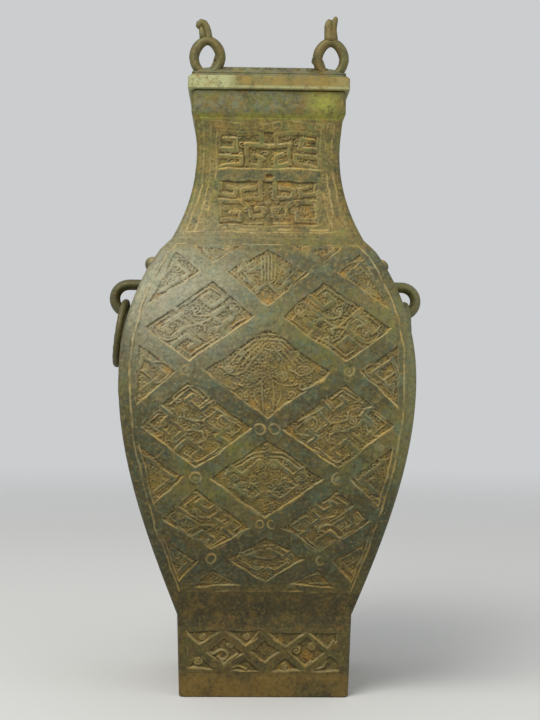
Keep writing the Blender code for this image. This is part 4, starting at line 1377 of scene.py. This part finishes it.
def fine_steps(points, closed, longest):
    """Points added so that a line follows the curved face."""
    out = []
    for a, b in zip(points, points[1:] + points[:1] if closed else points[1:]):
        count = max(1, math.ceil(math.hypot(b[0] - a[0], b[1] - a[1]) / longest))
        out += [(a[0] + (b[0] - a[0]) * k / count, a[1] + (b[1] - a[1]) * k / count) for k in range(count)]
    if not closed:
        out.append(points[-1])
    return out


def lid_threads(finish):
    """Fine square frames and spirals over the crown."""
    curve = bpy.data.curves.new("lid_lines", "CURVE")
    curve.dimensions = "3D"
    curve.bevel_depth = 1.0
    curve.bevel_resolution = 0
    lines = []
    for reach in (58.5, 45.5, 42.0, 22.0, 19.0):
        lines.append((upright(reach, -reach, reach), 0.7, True))
    for quarter in range(4):
        turn = Matrix.Rotation(quarter * math.pi / 2, 2)
        for k in range(-4, 5):
            for u, v, size, hand in ((k * 10.5, -52.0, 3.6, 1), (k * 9.0, -36.0, 3.4, -1),
                                     (k * 9.0 + 4.5, -28.0, 3.2, 1)):
                if abs(u) > abs(v) - 3.0:
                    continue
                points = []
                for n in range(20):
                    angle = hand * 3.2 * math.pi * n / 19 + k
                    out = size * (0.15 + 0.85 * n / 19)
                    place = Vector((u + out * math.cos(angle), v + 0.85 * out * math.sin(angle)))
                    points.append(tuple(turn @ place))
                lines.append((points, FINE, False))
    for k in range(3):
        reach = 5.0 + 4.0 * k
        lines.append(([(0, -reach), (reach, 0), (0, reach), (-reach, 0)], 0.6, True))
    for points, radius, closed in lines:
        path = fine_steps(points, closed, 5.0)
        spline = curve.splines.new("POLY")
        spline.points.add(len(path) - 1)
        for k, (u, v) in enumerate(path):
            height = LID_TOP + crown_height(max(abs(u), abs(v)))
            spline.points[k].co = (u * MM, v * MM, (height + 0.1) * MM, 1.0)
            spline.points[k].radius = radius * MM
        spline.use_cyclic_u = closed
    holder = bpy.data.objects.new("lid_lines", curve)
    bpy.context.scene.collection.objects.link(holder)
    mesh = bpy.data.meshes.new_from_object(holder.evaluated_get(bpy.context.evaluated_depsgraph_get()))
    bpy.data.objects.remove(holder, do_unlink=True)
    bm = bmesh.new()
    bm.from_mesh(mesh)
    bpy.data.meshes.remove(mesh)
    piece("lid_relief", bm, finish)


def tube(bm, path, radii, flat, sides, across=Vector((0, 1, 0)), closed=False, ridge=0.0):
    """Tube through a path in one plane, by extruding its section ring by ring. ridge raises a keel."""
    start = bmesh.ops.create_circle(bm, segments=sides, radius=1.0)["verts"]
    rings = []
    count = len(path)
    for k, here in enumerate(path):
        before = path[k - 1] if closed or k else here
        after = path[(k + 1) % count] if closed or k < count - 1 else here
        along = (after - before).normalized()
        outward = along.cross(across).normalized()
        if k == 0:
            ring = start
        else:
            edges = {e for v in rings[-1] for e in v.link_edges if e.other_vert(v) in rings[-1]}
            made = bmesh.ops.extrude_edge_only(bm, edges=list(edges))["geom"]
            fresh = [v for v in made if isinstance(v, bmesh.types.BMVert)]
            order = {}
            for v in fresh:
                for e in v.link_edges:
                    other = e.other_vert(v)
                    if other in rings[-1]:
                        order[rings[-1].index(other)] = v
            ring = [order[n] for n in range(sides)]
        for n, vert in enumerate(ring):
            angle = 2 * math.pi * n / sides
            raised, dipped = max(0.0, abs(math.sin(angle)) - 0.6) * 2.5, 0.5 * abs(math.sin(2 * angle))
            reach = radii[k] * (1.0 + ridge * raised - ridge * dipped)
            vert.co = here + (outward * math.cos(angle) + across * math.sin(angle) * flat) * reach
        rings.append(ring)
    if closed:
        first = [bm.edges.get((rings[0][n], rings[0][(n + 1) % sides])) for n in range(sides)]
        last = [bm.edges.get((rings[-1][n], rings[-1][(n + 1) % sides])) for n in range(sides)]
        bmesh.ops.bridge_loops(bm, edges=first + last)
    else:
        bm.faces.new(rings[0])
        bm.faces.new(rings[-1])


# Heads over the rings, seen from the front: (across, height over the ring, radius) up each limb, flatness
HEADS = {
    "curled": (
        ([(1.2, -0.6, 3.0), (1.0, 2.2, 2.7), (0.3, 6.0, 2.6), (-0.9, 9.6, 2.6), (-2.8, 12.4, 2.7),
          (-5.0, 13.2, 2.7), (-6.6, 12.0, 2.5), (-7.0, 10.0, 2.2), (-6.4, 8.6, 1.5)], 0.9),
        ([(-5.6, 9.6, 1.7), (-4.6, 7.0, 2.2), (-4.0, 4.0, 2.5), (-3.4, 0.6, 2.8)], 0.6)),
    "lobed": (
        ([(0.2, -0.6, 5.4), (-0.4, 2.8, 4.8), (-1.2, 7.0, 4.0), (-1.7, 11.0, 3.5), (-1.3, 14.2, 3.0),
          (-0.6, 16.4, 1.8)], 0.75),
        ([(2.4, 1.5, 3.0), (2.4, 5.5, 2.5), (2.3, 9.0, 2.2), (2.6, 12.6, 2.2), (3.2, 16.0, 2.2),
          (3.6, 18.0, 1.7), (3.7, 18.9, 0.9)], 0.9)),
}


def finial(sign_x, sign_y, head, hidden):
    """Ring with a head over it. The hidden one's head is turned and leans in behind the front ring."""
    bm = bmesh.new()
    top = Vector((sign_x * FINIAL_X, sign_y * FINIAL_Y, LID_TOP + FINIAL_RING_TOP))
    tall = (FINIAL_HOLE + FINIAL_TUBE) / 2
    wide = (FINIAL_WIDTH - FINIAL_TUBE) / 2
    centre = top - Vector((0, 0, FINIAL_TUBE / 2 + tall))
    path = []
    for k in range(32):
        angle = 2 * math.pi * k / 32
        rise = math.sin(angle)
        slim = 1.0 - 0.10 * max(0.0, rise) ** 2 - 0.10 * max(0.0, -rise)
        pinch = 1.0 - 0.16 * max(0.0, -rise) ** 3
        path.append(centre + Vector((math.cos(angle) * wide * slim * pinch, 0, rise * tall)))
    radii = [FINIAL_TUBE / 2 * (1.0 + 0.06 * math.sin(3 * math.pi * k / 16)) for k in range(32)]
    tube(bm, path, radii, 0.9, 12, closed=True, ridge=0.22)
    ring_top = top - Vector((0, 0, FINIAL_TUBE * 0.35))
    turn = Matrix.Rotation(math.pi / 2 if hidden else 0.0, 3, "Z")
    lean = 0.45 if hidden else 0.0
    for limb, flat in HEADS[head]:
        path = [ring_top + turn @ Vector((u, 0, 0)) + Vector((lean * h, 0, h)) for u, h, _ in limb]
        tube(bm, path, [radius for _, _, radius in limb], flat, 12, across=turn @ Vector((0, 1, 0)))
    return bm


def cast(name, bm, finish):
    """Piece made in millimetres, brought to metres."""
    for vert in bm.verts:
        vert.co *= MM
    bmesh.ops.recalc_face_normals(bm, faces=bm.faces)
    piece(name, bm, finish)


def finials(finish):
    """The four finials at the corners of the lid."""
    for sign_x, side in ((-1, "left"), (1, "right")):
        for sign_y, end in ((-1, "front"), (1, "back")):
            head = "lobed" if (end, side) == ("front", "right") else "curled"
            bm = finial(sign_x, sign_y, head, hidden=(end, side) == ("back", "left"))
            cast("finial_%s_%s" % (end, side), bm, finish)


# Loops and ring handles on the sides


def loops(finish):
    """Closed loop that stands out of each mask."""
    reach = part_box("vessel")[1][0] / MM
    radius = (LOOP_TALL - LOOP_THICK) / 2
    bend = reach - LOOP_TALL / 2
    inner = half_width(LOOP_Z) - 3.0
    for sign, side in ((-1, "left"), (1, "right")):
        bm = bmesh.new()
        places = [(inner, radius), (inner + 6, radius)]
        for k in range(17):
            angle = math.pi / 2 - math.pi * k / 16
            places.append((bend + (radius + 0.3) * math.cos(angle), radius * math.sin(angle)))
        places += [(inner + 6, -radius), (inner, -radius)]
        path = [Vector((sign * out, 0, LOOP_Z + up)) for out, up in places]
        tube(bm, path, [LOOP_THICK / 2 + LOOP_STOUTER] * len(path), 1.2, 16, ridge=0.16)
        cast("loop_" + side, bm, finish)


def rings(finish):
    """Ring handles, each about its own pivot. The left one leans out as it hangs in the photo."""
    joints = {j["name"]: j for j in frame["record"]["behaviour"]["joints"]}
    radius = (HANDLE_OUTER - HANDLE_THICK) / 2
    for sign, side, lean in ((-1, "left", LEFT_HANDLE_LEAN), (1, "right", 0.0)):
        pivot = Vector(joints["ring_%s_swing" % side]["pos_m"])
        bm = bmesh.new()
        angles = [2 * math.pi * k / 48 for k in range(48)]
        path = [Vector((0, radius * math.cos(angle), radius * math.sin(angle) - radius)) for angle in angles]
        radii = [HANDLE_THICK / 2 * (1.0 + 0.05 * math.sin(2.3 * k)) * 0.97 for k in range(48)]
        tube(bm, path, radii, 1.0, 12, across=Vector((1, 0, 0)), closed=True)
        turn = Matrix.Rotation(-sign * lean, 3, "Y")
        for vert in bm.verts:
            vert.co = turn @ vert.co * MM + pivot
        bmesh.ops.recalc_face_normals(bm, faces=bm.faces)
        made = piece("handle_" + side, bm, finish, "ring_" + side)
        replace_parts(made, "ring_" + side)


# Stage


def stage():
    """Pale floor that fades out, and a plain pale sky."""
    bm = bmesh.new()
    bmesh.ops.create_circle(bm, segments=96, radius=3.0, cap_ends=True)
    mesh = bpy.data.meshes.new("floor")
    bm.to_mesh(mesh)
    bm.free()
    floor = bpy.data.objects.new("floor", mesh)
    bpy.context.scene.collection.objects.link(floor)
    f = Finish("pale_floor")
    away = f.node("ShaderNodeVectorMath", {"operation": "LENGTH"}, {0: f.place}, "Value")
    f.feed(base_color=tone(206, 206, 203), roughness=0.9, alpha=f.step(away, 2.6, 0.7))
    mesh.materials.append(f.material)
    world = bpy.data.worlds.new("studio")
    bpy.context.scene.world = world
    world.use_nodes = True
    world.node_tree.nodes["Background"].inputs["Color"].default_value = tone(203, 205, 207)
    world.node_tree.nodes["Background"].inputs["Strength"].default_value = 1.0
    bpy.context.scene.view_settings.view_transform = "Standard"


def lamp(name, place, size, power, colour):
    """Soft square lamp turned to the middle of the vessel."""
    data = bpy.data.lights.new(name, "AREA")
    data.size = size
    data.energy = power
    data.color = colour
    made = bpy.data.objects.new(name, data)
    made.location = place
    made.rotation_euler = (Vector((0, 0, 0.25)) - Vector(place)).to_track_quat("-Z", "Y").to_euler()
    bpy.context.scene.collection.objects.link(made)


def camera():
    """The photo's camera: standing off the front, level but for a small roll and pitch."""
    data = bpy.data.cameras.new("camera")
    data.sensor_fit = "VERTICAL"
    data.sensor_height = SENSOR
    data.lens = FOCAL / PHOTO_HEIGHT * SENSOR
    made = bpy.data.objects.new("camera", data)
    bpy.context.scene.collection.objects.link(made)
    away = CAMERA_AWAY * MM
    made.location = (math.sin(TURN) * away, -math.cos(TURN) * away, CAMERA_HEIGHT * MM)
    pan = TURN - math.atan((PHOTO_WIDTH / 2 - AXIS_X) / FOCAL)
    pitch = math.atan((HORIZON - PHOTO_HEIGHT / 2) / FOCAL)
    level = Matrix.Rotation(pan, 4, "Z") @ Matrix.Rotation(math.pi / 2 + pitch, 4, "X")
    made.rotation_euler = (level @ Matrix.Rotation(ROLL, 4, "Z")).to_euler()
    bpy.context.scene.camera = made


def dress():
    """All pieces with their finishes."""
    body_finish = patina("bronze_body")
    lid_finish = patina("bronze_lid", ochre=0.1, pale=0.2, lid_band=True)
    finial_finish = patina("bronze_finials", ochre=0.3, pale=0.15, dark=0.35)
    ring_finish = patina("bronze_rings", dark=0.45)
    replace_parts(vessel_body(body_finish), "vessel")
    relief(body_finish)
    lid(lid_finish)
    lid_threads(lid_finish)
    finials(finial_finish)
    loops(ring_finish)
    rings(ring_finish)


dress()
stage()
lamp("key", (-0.75, -1.05, 1.75), 1.1, 30.0, (1.0, 0.98, 0.94))
lamp("fill", (1.6, -1.2, 0.8), 1.5, 9.0, (0.97, 0.98, 1.0))
camera()
